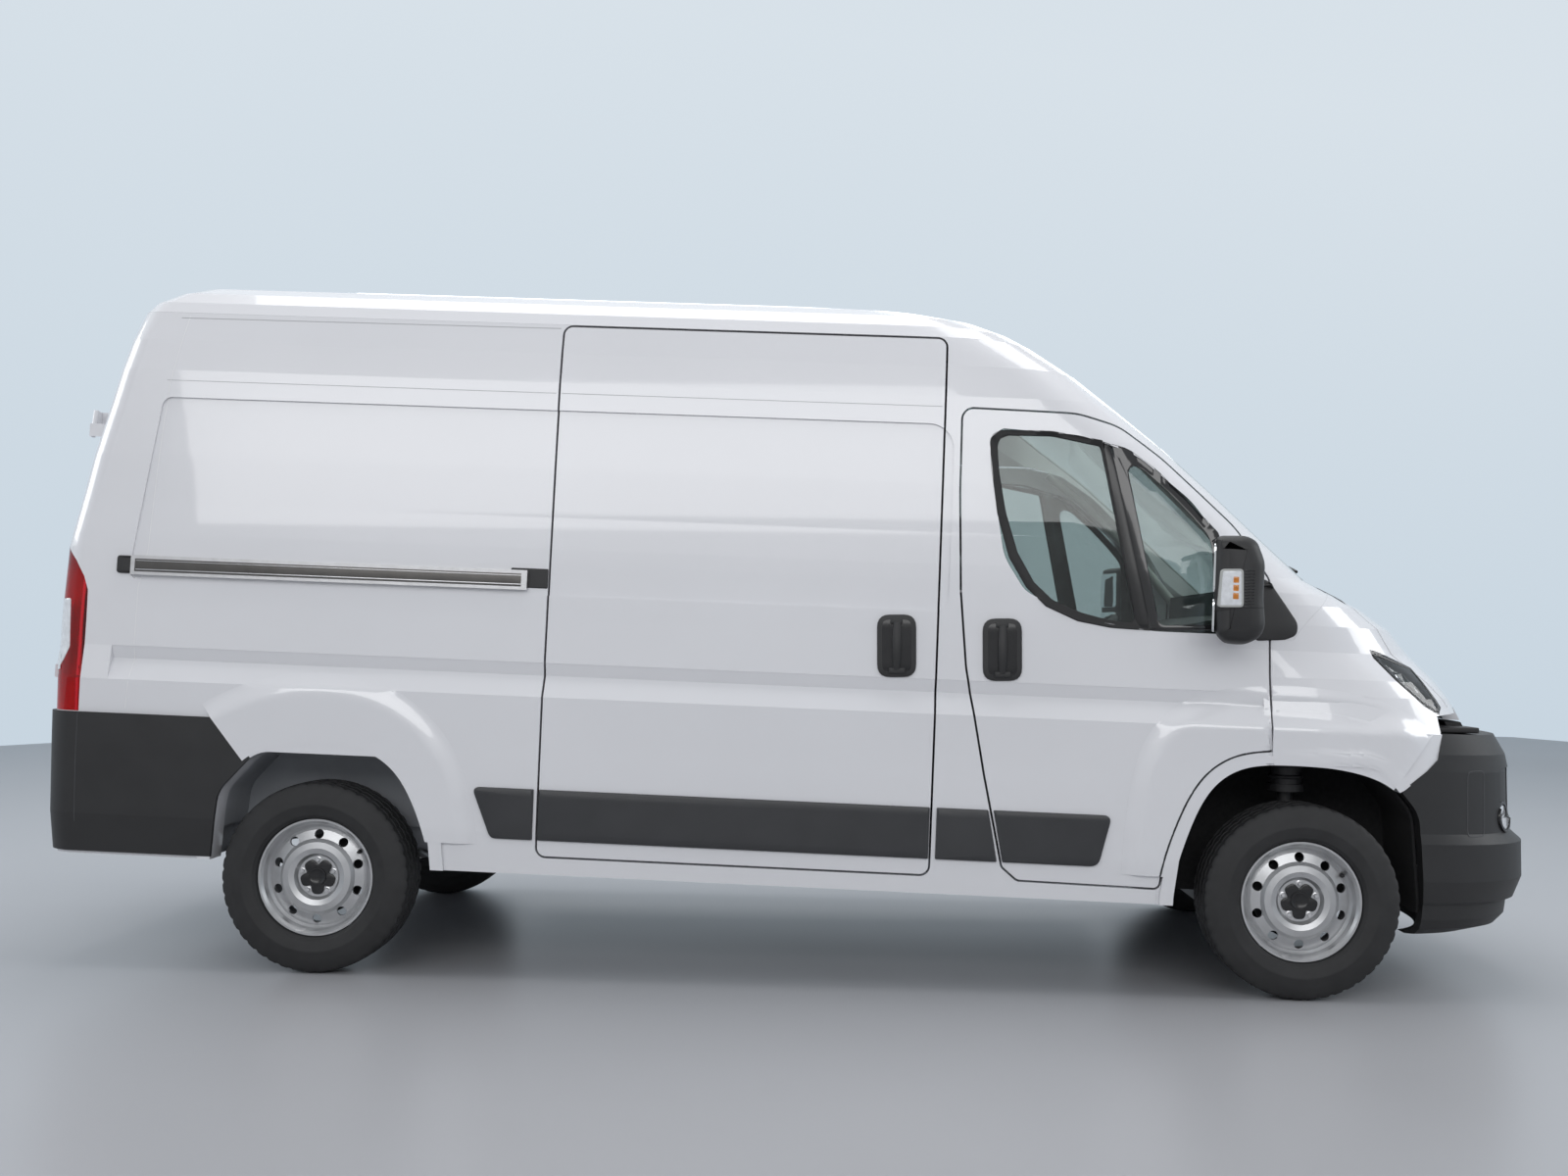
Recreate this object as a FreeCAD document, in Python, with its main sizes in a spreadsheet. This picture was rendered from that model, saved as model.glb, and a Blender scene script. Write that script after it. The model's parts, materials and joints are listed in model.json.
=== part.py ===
# Panel van, medium wheelbase with a high roof, as a parametric document.
# X points forward, Y to the vehicle's left, Z up. The origin is on the ground, midway between the bumpers.
# The body is drawn level and then pitched about the front axle, because an unladen van stands nose down.
import FreeCAD
import Part
import Sketcher
import math
import os
from types import SimpleNamespace
from FreeCAD import Placement, Rotation, Vector

os.makedirs("parts", exist_ok=True)
doc = FreeCAD.newDocument("PanelVan")
sheet = doc.addObject("Spreadsheet::Sheet", "Sizes")

# Driving dimensions in millimetres and degrees. Heights are those of the level body.
SIZES = (
    ("wheelbase", 3450, "axle to axle"),
    ("front_overhang", 948, "front axle to bumper"),
    ("rear_overhang", 1015, "rear axle to bumper"),
    ("half_width", 1012, "centre plane to the widest skin"),
    ("rake_angle", 1.33, "nose-down pitch of the unladen body"),
    ("hub_height", 337, "wheel centre above ground, the loaded tyre radius"),
    ("front_track", 1810, "between front tyre centres"),
    ("rear_track", 1790, "between rear tyre centres"),
    ("sill_level", 305, "underside of the sills"),
    ("shelf_level", 930, "top of the front bumper and foot of the swage"),
    ("cowl_level", 1400, "base of the windscreen"),
    ("gutter_level", 2270, "roof gutter"),
    ("roof_level", 2420, "crown of the roof"),
    ("floor_level", 455, "load floor"),
    ("floor_plate", 40, "load floor thickness"),
    ("wall", 90, "side wall and door thickness"),
    ("rear_wall", 62, "rear door thickness"),
    ("front_wall", 45, "windscreen frame, measured along X"),
    ("roof_wall", 45, "roof thickness with its bows"),
    ("corner_radius", 90, "rear corners in plan"),
    ("gap", 7.5, "panel gap"),
    ("overrun", 300, "how far cutting prisms pass the body"),
    ("skin", 26, "wing and bonnet thickness"),
    ("rest_gap", 0.4, "between pieces that rest on curved faces"),
    ("firewall", 138, "firewall face behind the front axle"),
    ("firewall_half", 878, "firewall half width"),
    ("firewall_depth", 60, "firewall thickness"),
    ("pillar_inset", 200, "A-pillar inner edge from the widest skin"),
    ("striker_line", 940, "cab door striker from the centre"),
    ("striker_radius", 5, "cab door striker"),
    ("striker_length", 22, "cab door striker beyond its pillar"),
    ("door_swing_inset", 18, "front door hinge line inside the widest skin"),
    ("door_swing_setback", 80, "front door hinge line behind the front seam"),
    ("hinge_radius", 9, "door hinge knuckle"),
    ("glass", 5, "glazing thickness"),
    ("glass_inset", 9, "glazing behind the skin"),
    ("recess", 9, "pressed side panel recess"),
    ("flare", 14, "arch flare and moulding proud of the skin"),
    ("tyre_width", 225, "tyre section"),
    ("rim_flange", 206, "rim edge"),
    ("rim_width", 165, "rim across its flanges"),
    ("hub_bore", 35.5, "wheel centre bore radius"),
    ("hub_back", 60, "hub inboard of the tyre centre"),
    ("hub_body", 58, "hub radius"),
    ("hub_play", 1, "hub face to wheel disc"),
    ("spindle_play", 0.08, "spindle in the wheel bore"),
    ("spindle_reach", 16, "spindle beyond the wheel disc"),
    ("brake_back", 34, "brake disc inboard of the tyre centre"),
    ("brake_radius", 142, "brake disc radius"),
    ("brake_plate", 22, "brake disc thickness"),
    ("strut_tube", 27, "strut tube radius"),
    ("coil_radius", 62, "coil spring outer radius"),
    ("coil_wire", 7, "coil spring wire radius"),
    ("arm_level", 205, "front lower arms above ground"),
    ("ball_radius", 15, "lower ball joint"),
    ("steering_arm", 135, "steering arm behind the wheel centre"),
    ("rack_level", 300, "steering rack above ground"),
    ("subframe_length", 300, "front subframe along X"),
    ("beam_radius", 34, "rear axle beam"),
    ("spring_front", 640, "front spring eye ahead of the rear axle"),
    ("spring_rear", 620, "rear spring eye behind the rear axle"),
    ("spring_eye_level", 400, "spring eyes above ground"),
    ("spring_seat", 90, "half the spring seat"),
    ("spring_plate", 22, "leaf spring thickness"),
    ("spring_width", 60, "leaf spring width"),
    ("spring_spread", 520, "leaf spring from the centre"),
    ("tank_outer", 860, "fuel tank outer face from the centre"),
    ("exhaust_pipe", 27, "exhaust pipe radius"),
    ("muffler_radius", 60, "muffler radius"),
    ("hinge_height", 50, "door hinge barrel height"),
    ("hinge_play", 0.6, "between the barrels of a hinge"),
    ("hinge_leaf", 8, "hinge leaf thickness"),
    ("hinge_room", 1.6, "hinge leaf shorter than its barrel at each end"),
    ("hinge_share", 0.982, "rear hinge line behind the rear axle at the middle hinge, share of the overhang"),
    ("bolt_circle", 118, "wheel bolt circle"),
    ("bolt_hole", 8, "wheel bolt hole radius"),
    ("vent_hole", 16.5, "radius of the wheel holes"),
    ("vent_circle", 150, "radius of the ring of wheel holes"),
    ("kingpin_inset", 135, "steering axis inside the tyre centre"),
    ("rear_seam", 803, "outer edge of the rear doors from the centre"),
    ("rear_hinge", 835, "rear door hinge line from the centre"),
    ("rear_centre_gap", 10, "between the two rear doors"),
    ("bonnet_rear", 178, "rear edge of the bonnet ahead of the front axle"),
    ("bonnet_gap", 16, "between the bonnet and the cowl"),
    ("bonnet_pin", 4, "bonnet hinge pin radius"),
    ("bonnet_hinge_spread", 350, "bonnet hinges from the centre"),
    ("bonnet_half", 800, "bonnet edge from the centre"),
    ("moulding_low", 426, "lower edge of the side mouldings"),
    ("moulding_high", 607, "upper edge of the side mouldings"),
    ("arch_front", 430, "front wheel opening, half its length"),
    ("arch_rear", 400, "rear wheel opening, half its length"),
    ("lip_width", 46, "arch lip seen from the side"),
    ("lamp_gap", 0.8, "around the lamps"),
    ("lamp_inner", 690, "headlamp inner edge from the centre"),
    ("tail_lamp_inner", 872, "tail lamp inner edge from the centre"),
    ("liner_wall", 585, "inner face of the front wheel arches from the centre"),
    ("liner_outer", 900, "outer edge of the front arch liners"),
    ("wheelbox_wall", 690, "inner face of the rear wheel boxes from the centre"),
    ("sheet_metal", 10, "pressed arches and boxes, with their seams"),
    ("screen_low_share", 0.532, "glass base between sill and crown"),
    ("screen_high_share", 0.888, "glass top between sill and crown"),
    ("rear_door_low_share", 0.078, "rear door bottom between sill and crown"),
    ("rear_door_high_share", 0.912, "rear door top between sill and crown"),
    ("bulkhead_share", 0.363, "bulkhead behind the front axle, share of the wheelbase"),
    ("bulkhead_plate", 22, "bulkhead thickness"),
    ("board_plate", 6, "load board above the floor plate"),
    ("board_margin", 60, "load board's edge from doors, bulkhead and wheel boxes"),
    ("board_half", 880, "half width of the load board"),
    ("sweep_level", 826, "wing's top edge where the door's foot swings over it"),
    ("sweep_high", 960, "top of the wing's relief for the door's front edge"),
    ("sweep_reach", 50, "that relief behind the door hinge"),
    ("sweep_gap", 12.5, "gap in front of the door along that relief"),
    ("sweep_depth", 28, "depth of that relief"),
    ("swing_rise", 8, "more room above the rear doors, which rise as they open"),
    ("recess_radius", 90, "corner of the pressed side panel"),
    ("grille_depth", 38, "grille strip height"),
    ("bumper_low", 210, "chin of the front bumper"),
    ("intake_half", 430, "front intake half width"),
    ("slot_half", 330, "lower slot half width"),
    ("fog_inner", 560, "fog panel inner edge from the centre"),
    ("fog_outer", 780, "fog panel outer edge from the centre"),
    ("bumper_wall", 50, "bumper depth with its foam"),
    ("pad_width", 60, "bumper pad beyond the rear hinge line"),
    ("step_fillet", 8, "rear step edge"),
    ("flange_width", 60, "thin flange of the rear doors at the centre"),
    ("rail_spread", 430, "chassis rail from the centre"),
    ("rail_width", 70, "chassis rail width"),
    ("rail_depth", 90, "chassis rail depth"),
    ("cross_half", 640, "crossmember half length"),
    ("tower_height", 690, "strut tower above the wheel centre"),
    ("tower_lean", 0, "strut tower inboard of the steering axis"),
    ("tower_radius", 98, "strut tower"),
    ("dash_half", 840, "dashboard half width"),
    ("seat_height", 440, "squab above the cab floor"),
    ("seat_inset", 40, "seat box inside the squab"),
    ("squab_depth", 520, "seat squab front to back"),
    ("cushion", 120, "seat padding"),
    ("cushion_radius", 40, "seat padding edges"),
    ("back_height", 600, "backrest above the squab"),
    ("headrest", 240, "headrest width"),
    ("seat_width", 500, "driver's seat"),
    ("driver_middle", 440, "driver's seat and steering wheel from the centre"),
    ("bench_outer", 800, "passenger bench outer edge"),
    ("bench_inner", 90, "passenger bench inner edge"),
    ("wheel_tilt", 32, "steering wheel from level"),
    ("steering_radius", 195, "steering wheel rim"),
    ("steering_grip", 15, "steering wheel rim section"),
    ("column_length", 260, "steering column in view"),
    ("radiator_depth", 52, "radiator thickness"),
    ("engine_half", 330, "engine half width"),
    ("mirror_stand", 85, "mirror head outside the widest skin"),
    ("mirror_width", 160, "mirror head across"),
    ("mirror_radius", 42, "mirror head edges"),
)
for row, (alias, value, note) in enumerate(SIZES, 1):
    sheet.set(f"A{row}", note)
    sheet.set(f"B{row}", str(value))
    sheet.setAlias(f"B{row}", alias)
doc.recompute()
S = SimpleNamespace(**{alias: float(sheet.get(alias)) for alias, _, _ in SIZES})

LEFT, RIGHT = 1, -1
HALF, FULL = 180, 360
length = S.front_overhang + S.wheelbase + S.rear_overhang
front_axle = length / 2 - S.front_overhang
rear_axle = front_axle - S.wheelbase
slope = math.tan(math.radians(S.rake_angle))
rear_hub_level = S.hub_height - S.wheelbase * slope
PITCH = Placement(
    Vector(), Rotation(Vector(0, 1, 0), S.rake_angle), Vector(front_axle, 0, S.hub_height)
)


def lerp(low, high, share):
    return low + (high - low) * share


def ahead(share):
    """An X from the front axle, as a share of the front overhang."""
    return front_axle + share * S.front_overhang


def behind(share):
    """An X behind the rear axle, as a share of the rear overhang."""
    return rear_axle - share * S.rear_overhang


def along(share):
    """An X between the axles, as a share of the wheelbase behind the front axle."""
    return front_axle - share * S.wheelbase


def rise(share):
    """A Z between the sills and the roof crown."""
    return lerp(S.sill_level, S.roof_level, share)


# Plan outlines of the body, one row per height. Each row holds shares: the height within its zone, the
# half-width, the nose and shoulder ahead of the front axle, the tail behind the rear axle, then how square
# the nose is and how far its middle bows forward.
LOWER_SHARES = (
    (0.0, 0.973, 0.935, -0.536, 0.954, 4.0, 0.0),
    (0.232, 0.991, 0.946, -0.536, 0.964, 4.0, 0.0),
    (0.632, 0.998, 0.940, -0.536, 0.969, 4.0, 0.0),
    (1.0, 1.0, 0.872, -0.536, 0.974, 4.0, 0.0),
)
NOSE_SHARES = (
    (0.0, 1.0, 0.735, -0.536, 0.974, 4.8, 0.0),
    (0.255, 0.980, 0.677, -0.536, 0.979, 4.6, 0.010),
    (0.377, 0.978, 0.640, -0.536, 0.980, 4.2, 0.015),
    (0.574, 0.975, 0.566, -0.536, 0.979, 3.5, 0.030),
    (0.766, 0.973, 0.471, -0.536, 0.975, 3.8, 0.035),
    (0.915, 0.971, 0.344, -0.536, 0.972, 4.2, 0.040),
    (1.0, 0.970, 0.244, -0.536, 0.971, 4.5, 0.040),
)
SCREEN_SHARES = (
    (0.0, *NOSE_SHARES[-1][1:]),
    (0.063, 0.968, 0.112, -0.620, 0.961, 5.0, 0.050),
    (0.192, 0.962, -0.024, -0.790, 0.938, 5.5, 0.060),
    (0.390, 0.954, -0.228, -0.998, 0.905, 6.0, 0.070),
    (0.587, 0.943, -0.435, -1.205, 0.864, 6.0, 0.070),
    (0.751, 0.931, -0.628, -1.398, 0.833, 6.0, 0.070),
    (0.878, 0.915, -0.779, -1.549, 0.806, 6.0, 0.070),
    (1.0, 0.892, -0.945, -1.715, 0.771, 5.5, 0.070),
)
ROOF_SHARES = (
    (0.0, *SCREEN_SHARES[-1][1:]),
    (0.28, 0.872, -1.027, -1.80, 0.741, 5.5, 0.070),
    (0.56, 0.836, -1.127, -1.90, 0.670, 5.0, 0.070),
    (0.767, 0.775, -1.250, -2.02, 0.600, 4.5, 0.070),
    (0.9, 0.690, -1.390, -2.15, 0.520, 4.0, 0.070),
    (1.0, 0.450, -1.650, -2.40, 0.340, 4.0, 0.050),
)
NOSE_ANGLES = (-90, -76, -64, -54, -45, -36, -26, -13, 0, 13, 26, 36, 45, 54, 64, 76, 90)


def plan_outline(level, half, nose, shoulder, tail, power, bow, radius):
    """One closed outline seen from above: a squared-off nose, straight sides and rounded rear corners."""
    points = []
    for angle in NOSE_ANGLES:
        cosine = math.cos(math.radians(angle))
        sine = math.sin(math.radians(angle))
        reach = (abs(cosine) ** power + abs(sine) ** power) ** (-1 / power)
        x = shoulder + (nose - shoulder) * cosine * reach
        y = half * sine * reach
        points.append(Vector(x - bow * (y / half) ** 2 * cosine, y, level))
    curve = Part.BSplineCurve()
    forward = Vector(1, 0, 0)
    curve.interpolate(Points=points, InitialTangent=forward, FinalTangent=-forward)
    left = Vector(tail + radius, half, level)
    right = Vector(tail + radius, -half, level)
    rear_left = Vector(tail, half - radius, level)
    rear_right = Vector(tail, -half + radius, level)
    back = radius * math.cos(math.pi / 4)
    mid_left = Vector(tail + radius - back, half - radius + back, level)
    mid_right = Vector(tail + radius - back, -half + radius - back, level)
    edges = [
        curve.toShape(),
        Part.LineSegment(points[-1], left).toShape(),
        Part.Arc(left, mid_left, rear_left).toShape(),
        Part.LineSegment(rear_left, rear_right).toShape(),
        Part.Arc(rear_right, mid_right, right).toShape(),
        Part.LineSegment(right, points[0]).toShape(),
    ]
    return Part.Wire(edges)


def zone(rows, low, high, side, front, rear):
    wires = []
    for share, width, nose, shoulder, tail, power, bow in rows:
        outline = plan_outline(
            lerp(low, high, share),
            width * S.half_width - side,
            ahead(nose) - front,
            ahead(shoulder) - front,
            behind(tail) + rear,
            power,
            bow * S.half_width,
            max(S.corner_radius - side, S.corner_radius / 3),
        )
        wires.append(outline)
    return Part.makeLoft(wires, True, True)


def body_form(side=0, front=0, rear=0, roof=0):
    """The whole body as one solid, inset by the given amounts. Negative insets stand proud."""
    gutter = S.gutter_level - roof
    lower = zone(LOWER_SHARES, S.sill_level, S.shelf_level, side, front, rear)
    nose = zone(NOSE_SHARES, S.shelf_level, S.cowl_level, side, front, rear)
    screen = zone(SCREEN_SHARES, S.cowl_level, gutter, side, front, rear)
    cap = zone(ROOF_SHARES, gutter, S.roof_level - roof, side, front, rear)
    return lower.fuse([nose, screen, cap]).removeSplitter()


def rounded_wire(points, radius):
    """A closed polygon in one plane whose corners are arcs. radius is one number or one per corner."""
    count = len(points)
    radii = radius if isinstance(radius, (list, tuple)) else [radius] * count
    edges = []
    starts = []
    ends = []
    mids = []
    for i, corner in enumerate(points):
        to_prev = (points[i - 1] - corner).normalize()
        to_next = (points[(i + 1) % count] - corner).normalize()
        half = to_prev.getAngle(to_next) / 2
        reach = radii[i] / math.tan(half) if radii[i] else 0
        starts.append(corner + to_prev * reach)
        ends.append(corner + to_next * reach)
        middle = (to_prev + to_next).normalize()
        centre_distance = radii[i] / math.sin(half) if radii[i] else 0
        mids.append(corner + middle * (centre_distance - radii[i]))
    for i in range(count):
        if radii[i]:
            edges.append(Part.Arc(starts[i], mids[i], ends[i]).toShape())
        after = (i + 1) % count
        edges.append(Part.LineSegment(ends[i], starts[after]).toShape())
    return Part.Wire(edges)


def side_wire(points, radius=0):
    return rounded_wire([Vector(x, 0, z) for x, z in points], radius)


def grown(wire, amount):
    return wire.makeOffset2D(amount) if amount else wire


def side_prism(wire, hand, inner=0, outer=None, holes=()):
    """A side-view outline less its holes, pushed out through one side from the inner to the outer distance."""
    outer = S.half_width + S.overrun if outer is None else outer
    face = Part.Face(wire)
    for hole in holes:
        face = face.cut(Part.Face(hole))
    face.translate(Vector(0, hand * inner, 0))
    return face.extrude(Vector(0, hand * (outer - inner), 0))


def block(x_low, x_high, y_low, y_high, z_low, z_high):
    size = (x_high - x_low, y_high - y_low, z_high - z_low)
    return Part.makeBox(*size, Vector(x_low, y_low, z_low))


def less(shape, tools):
    """The shape with each tool cut from it in turn."""
    for tool in tools:
        shape = shape.cut(tool)
    return shape


def mirrored(shape):
    return shape.mirror(Vector(), Vector(0, 1, 0))


# Side-view outlines in shares: X from a named axle, Z between the sills and the roof crown.
def front_point(share_x, share_z):
    return (ahead(share_x), rise(share_z))


DOOR_SHARES = (
    (-1.031, 0.030),
    (-0.520, 0.027),
    (-0.505, 0.075),
    (-0.474, 0.149),
    (-0.400, 0.210),
    (-0.300, 0.245),
    (-0.210, 0.256),
    (-0.128, 0.257),
    (-0.142, 0.380),
    (-0.146, 0.539),
    (-0.258, 0.623),
    (-0.535, 0.735),
    (-0.700, 0.786),
    (-0.860, 0.803),
    (-1.287, 0.806),
    (-1.285, 0.668),
    (-1.270, 0.500),
    (-1.241, 0.374),
    (-1.163, 0.200),
    (-1.087, 0.051),
)
DOOR_REAR_CORNER = 14
DOOR_RADII_SHARES = (
    (0.03, 0.02, 0, 0.04, 0.06, 0.06, 0, 0.0, 0.3, 0.05)
    + (0.3, 0.5, 0.2, 0.3, 0.04, 0.3, 0.3, 0.3, 0.3, 0.02)
)
WINDOW_SHARES = (
    (-1.187, 0.757),
    (-1.140, 0.775),
    (-0.850, 0.768),
    (-0.640, 0.740),
    (-0.430, 0.665),
    (-0.228, 0.545),
    (-0.228, 0.446),
    (-0.560, 0.446),
    (-0.860, 0.464),
    (-1.040, 0.505),
    (-1.120, 0.560),
    (-1.163, 0.671),
)


def outline(shares, place, radii_shares, scale):
    return side_wire([place(x, z) for x, z in shares], [r * scale for r in radii_shares])


door_wire = outline(DOOR_SHARES, front_point, DOOR_RADII_SHARES, S.front_overhang)
WINDOW_RADII_SHARES = (0.03, 0.03, 0.3, 0.3, 0.3, 0.05, 0.03, 0.3, 0.2, 0.1, 0.2, 0.3)
window_wire = outline(WINDOW_SHARES, front_point, WINDOW_RADII_SHARES, S.front_overhang)

slide_front = along(0.373)
slide_rear = along(0.7705)
slide_low = rise(0.0317)
slide_high = S.gutter_level - S.gap
slide_points = (
    (slide_rear, slide_low),
    (slide_front, slide_low),
    (slide_front, slide_high),
    (slide_rear, slide_high),
)
slide_wire = side_wire(slide_points, S.corner_radius / 3)


def arch_outline(axle, level, radius, grow=0):
    """The wheel opening: a round-cornered arch over one axle, closed below the sills."""
    half = radius + grow
    top = level + radius * 1.1 + grow
    shoulder = lerp(level, top, 0.66)
    base = S.sill_level - S.overrun
    points = (
        (axle - half, base),
        (axle - half, level),
        (axle - half * 0.93, shoulder),
        (axle - half * 0.60, top),
        (axle + half * 0.60, top),
        (axle + half * 0.93, shoulder),
        (axle + half, level),
        (axle + half, base),
    )
    bend = half * 0.28
    return side_wire(points, [0, bend, bend, bend, bend, bend, bend, 0])


front_arch = arch_outline(ahead(-0.011), S.hub_height, S.arch_front)
rear_arch = arch_outline(behind(-0.020), rear_hub_level, S.arch_rear)

# Master forms: the skin and the surfaces inside or outside it.
outer = body_form()
inner = body_form(S.wall, S.front_wall, S.rear_wall, S.roof_wall)
lining = body_form(S.skin, S.skin * 2, S.skin, S.skin)
pressed = body_form(S.recess, S.recess, S.recess)
glass_back = body_form(S.recess + S.glass, S.recess + S.glass * 1.6, S.recess)
proud = body_form(-S.flare, -S.flare, -S.flare)
right_side = block(-length, length, -length, 0, -length, length)
walls = outer.cut(inner)
panels = outer.cut(lining)
right_walls = walls.common(right_side)
right_panels = panels.common(right_side)
cladding = proud.cut(outer).common(right_side)

far = length
half_gap = S.gap / 2


def everything(x_low=-far, x_high=far, y_low=-far, y_high=far, z_low=-far, z_high=far):
    return block(x_low, x_high, y_low, y_high, z_low, z_high)


def centre_zone(half, x_low=-far, x_high=far, z_low=-far, z_high=far):
    return block(x_low, x_high, -half, half, z_low, z_high)


# Side-view limits of the wing, its lamp, the bumper and the tail lamp, in the same shares.
WING_SHARES = (
    (-0.524, -0.012),
    (-0.524, 0.300),
    (-0.165, 0.440),
    (-0.051, 0.441),
    (-0.007, 0.469),
    (0.091, 0.513),
    (0.180, 0.560),
    (0.620, 0.560),
    (0.620, 0.330),
    (0.504, 0.325),
    (0.510, 0.2955),
    (0.491, 0.254),
    (0.448, 0.235),
    (0.355, 0.203),
    (0.250, 0.180),
    (0.150, -0.012),
)
BUMPER_LINE_SHARES = (
    (1.200, -0.100),
    (1.200, 0.2955),
    (0.510, 0.2955),
    (0.491, 0.254),
    (0.448, 0.235),
    (0.355, 0.203),
    (0.250, 0.180),
    (0.250, -0.100),
)
LAMP_SHARES = (
    (0.256, 0.430),
    (0.296, 0.427),
    (0.440, 0.403),
    (0.532, 0.339),
    (0.515, 0.327),
    (0.450, 0.341),
    (0.345, 0.381),
    (0.268, 0.417),
)
wing_wire = outline(WING_SHARES, front_point, [0] * len(WING_SHARES), S.front_overhang)
bumper_wire = outline(BUMPER_LINE_SHARES, front_point, [0] * 8, S.front_overhang)
lamp_wire = outline(LAMP_SHARES, front_point, [0] * 8, S.front_overhang)


def rear_point(share_x, share_z):
    return (behind(share_x), rise(share_z))


TAIL_LAMP_SHARES = (
    (1.200, 0.5155),
    (0.956, 0.5155),
    (0.912, 0.4935),
    (0.879, 0.4676),
    (0.862, 0.4440),
    (0.860, 0.3940),
    (0.860, 0.2402),
    (1.200, 0.2402),
)
BUMPER_CORNER_SHARES = (
    (1.200, 0.2388),
    (0.339, 0.2388),
    (0.292, 0.2104),
    (0.230, 0.1700),
    (0.230, 0.0050),
    (1.200, 0.0050),
)
tail_lamp_wire = outline(TAIL_LAMP_SHARES, rear_point, [0] * 8, S.rear_overhang)
bumper_corner_wire = outline(BUMPER_CORNER_SHARES, rear_point, [0] * 6, S.rear_overhang)

door_fill = side_prism(door_wire, RIGHT)
window_cut = side_prism(window_wire, RIGHT)
slide_cut = side_prism(grown(slide_wire, S.gap), RIGHT)
slide_fill = side_prism(slide_wire, RIGHT)
lamp_cut = side_prism(grown(lamp_wire, S.lamp_gap), RIGHT, S.lamp_inner - S.lamp_gap)
under_points = [
    front_point(0.20, LAMP_SHARES[1][1]),
    front_point(LAMP_SHARES[1][0], LAMP_SHARES[1][1]),
    front_point(LAMP_SHARES[2][0], LAMP_SHARES[2][1]),
    front_point(LAMP_SHARES[3][0], LAMP_SHARES[3][1]),
    front_point(1.0, LAMP_SHARES[3][1]),
    front_point(1.0, 0.20),
    front_point(0.20, 0.20),
]
under_wire = side_wire(under_points)
lamp_under = side_prism(under_wire, RIGHT, S.lamp_inner - S.gap)
lamp_fill = side_prism(lamp_wire, RIGHT, S.lamp_inner)
rear_arch_cut = side_prism(rear_arch, RIGHT, S.wheelbox_wall)
tail_lamp_cut = side_prism(grown(tail_lamp_wire, S.lamp_gap), RIGHT, S.tail_lamp_inner - S.lamp_gap)
tail_lamp_fill = side_prism(tail_lamp_wire, RIGHT, S.tail_lamp_inner)
bumper_corner_fill = side_prism(bumper_corner_wire, RIGHT, S.rear_seam + S.gap)

screen_low = rise(S.screen_low_share)
screen_high = rise(S.screen_high_share)
screen_half = S.half_width - S.pillar_inset
screen_rear = along(0.365)
rear_door_low = rise(S.rear_door_low_share)
rear_door_high = rise(S.rear_door_high_share)
front_seam = ahead(DOOR_SHARES[8][0])
firewall_face = front_axle - S.firewall
bulkhead_face = along(S.bulkhead_share)
rear_inside = behind(1) + S.rear_wall
sheet_nodes = []


def add_part(name, shape, placement=None):
    feature = doc.addObject("Part::Feature", name)
    feature.Label = name
    feature.Shape = shape
    feature.Placement = placement or Placement()
    sheet_nodes.append(feature)
    return feature


def solids_of(shape, smallest=1.0):
    """Keeps the solids of a cut that are more than a sliver, in mm³ times a thousand."""
    kept = [solid for solid in shape.Solids if solid.Volume > smallest * 1000]
    return kept[0] if len(kept) == 1 else Part.makeCompound(kept)


def recess_cut(points, radius):
    """A shallow pressing in the side: the skin inside an outline is taken back by the recess depth."""
    return side_prism(side_wire(points, radius), RIGHT).cut(pressed)


recess_rear = behind(0.640)
recess_front = along(0.3620)
recess_low = rise(0.4650)
recess_high = rise(0.7790)
panel_recess = recess_cut(
    (
        (behind(0.722), recess_low),
        (recess_front, recess_low),
        (recess_front, recess_high),
        (recess_rear, recess_high),
    ),
    [S.recess_radius * 0.4, S.recess_radius * 0.6, S.recess_radius, S.recess_radius * 0.4],
)


def swage_cut():
    """The shadow line along the side: a notch with a steep upper face and a ledge below it."""
    top = rise(0.3522)
    root = rise(0.3310)
    foot = S.shelf_level
    skin_top = S.half_width * 0.980
    notch = S.half_width * 0.964
    points = [
        Vector(behind(0.762), -skin_top - S.flare, top),
        Vector(behind(0.762), -skin_top + S.glass_inset * 0.2, top),
        Vector(behind(0.762), -notch, root),
        Vector(behind(0.762), -S.half_width, foot),
        Vector(behind(0.762), -S.half_width - S.flare * 2, foot),
    ]
    face = Part.Face(Part.makePolygon(points + points[:1]))
    return face.extrude(Vector(ahead(-0.16) - behind(0.762), 0, 0))


swage = swage_cut()


def make_wing():
    door_edge = grown(door_wire, S.gap)
    lamp_edge = grown(lamp_wire, S.lamp_gap)
    region = side_prism(wing_wire, RIGHT, holes=(door_edge, lamp_edge, front_arch))
    nose = centre_zone(S.bonnet_half + half_gap, z_low=S.shelf_level + S.rest_gap)
    region = region.cut(nose.cut(side_prism(under_wire, RIGHT, S.lamp_inner)))
    lip = side_prism(grown(front_arch, S.lip_width), RIGHT, S.half_width * 0.9, holes=(front_arch, door_edge))
    flare = proud.common(lip).common(side_prism(wing_wire, RIGHT)).cut(lining)
    wing = right_panels.common(region).cut(swage).fuse(flare)
    relief = block(
        front_seam - S.door_swing_setback - S.sweep_reach, front_seam + S.sweep_gap,
        -far, -S.half_width + S.sweep_depth, S.sweep_level, S.sweep_high,
    )
    return solids_of(wing.cut(relief))


striker_x = ahead(DOOR_SHARES[-4][0])
striker_z = rise(DOOR_SHARES[-4][1])


def make_striker():
    """The pin on the centre pillar that the cab door's latch closes on."""
    start = Vector(striker_x - S.gap * 3, -S.striker_line, striker_z)
    return Part.makeCylinder(S.striker_radius, S.gap * 3 + S.striker_length, start, Vector(1, 0, 0))


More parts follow.
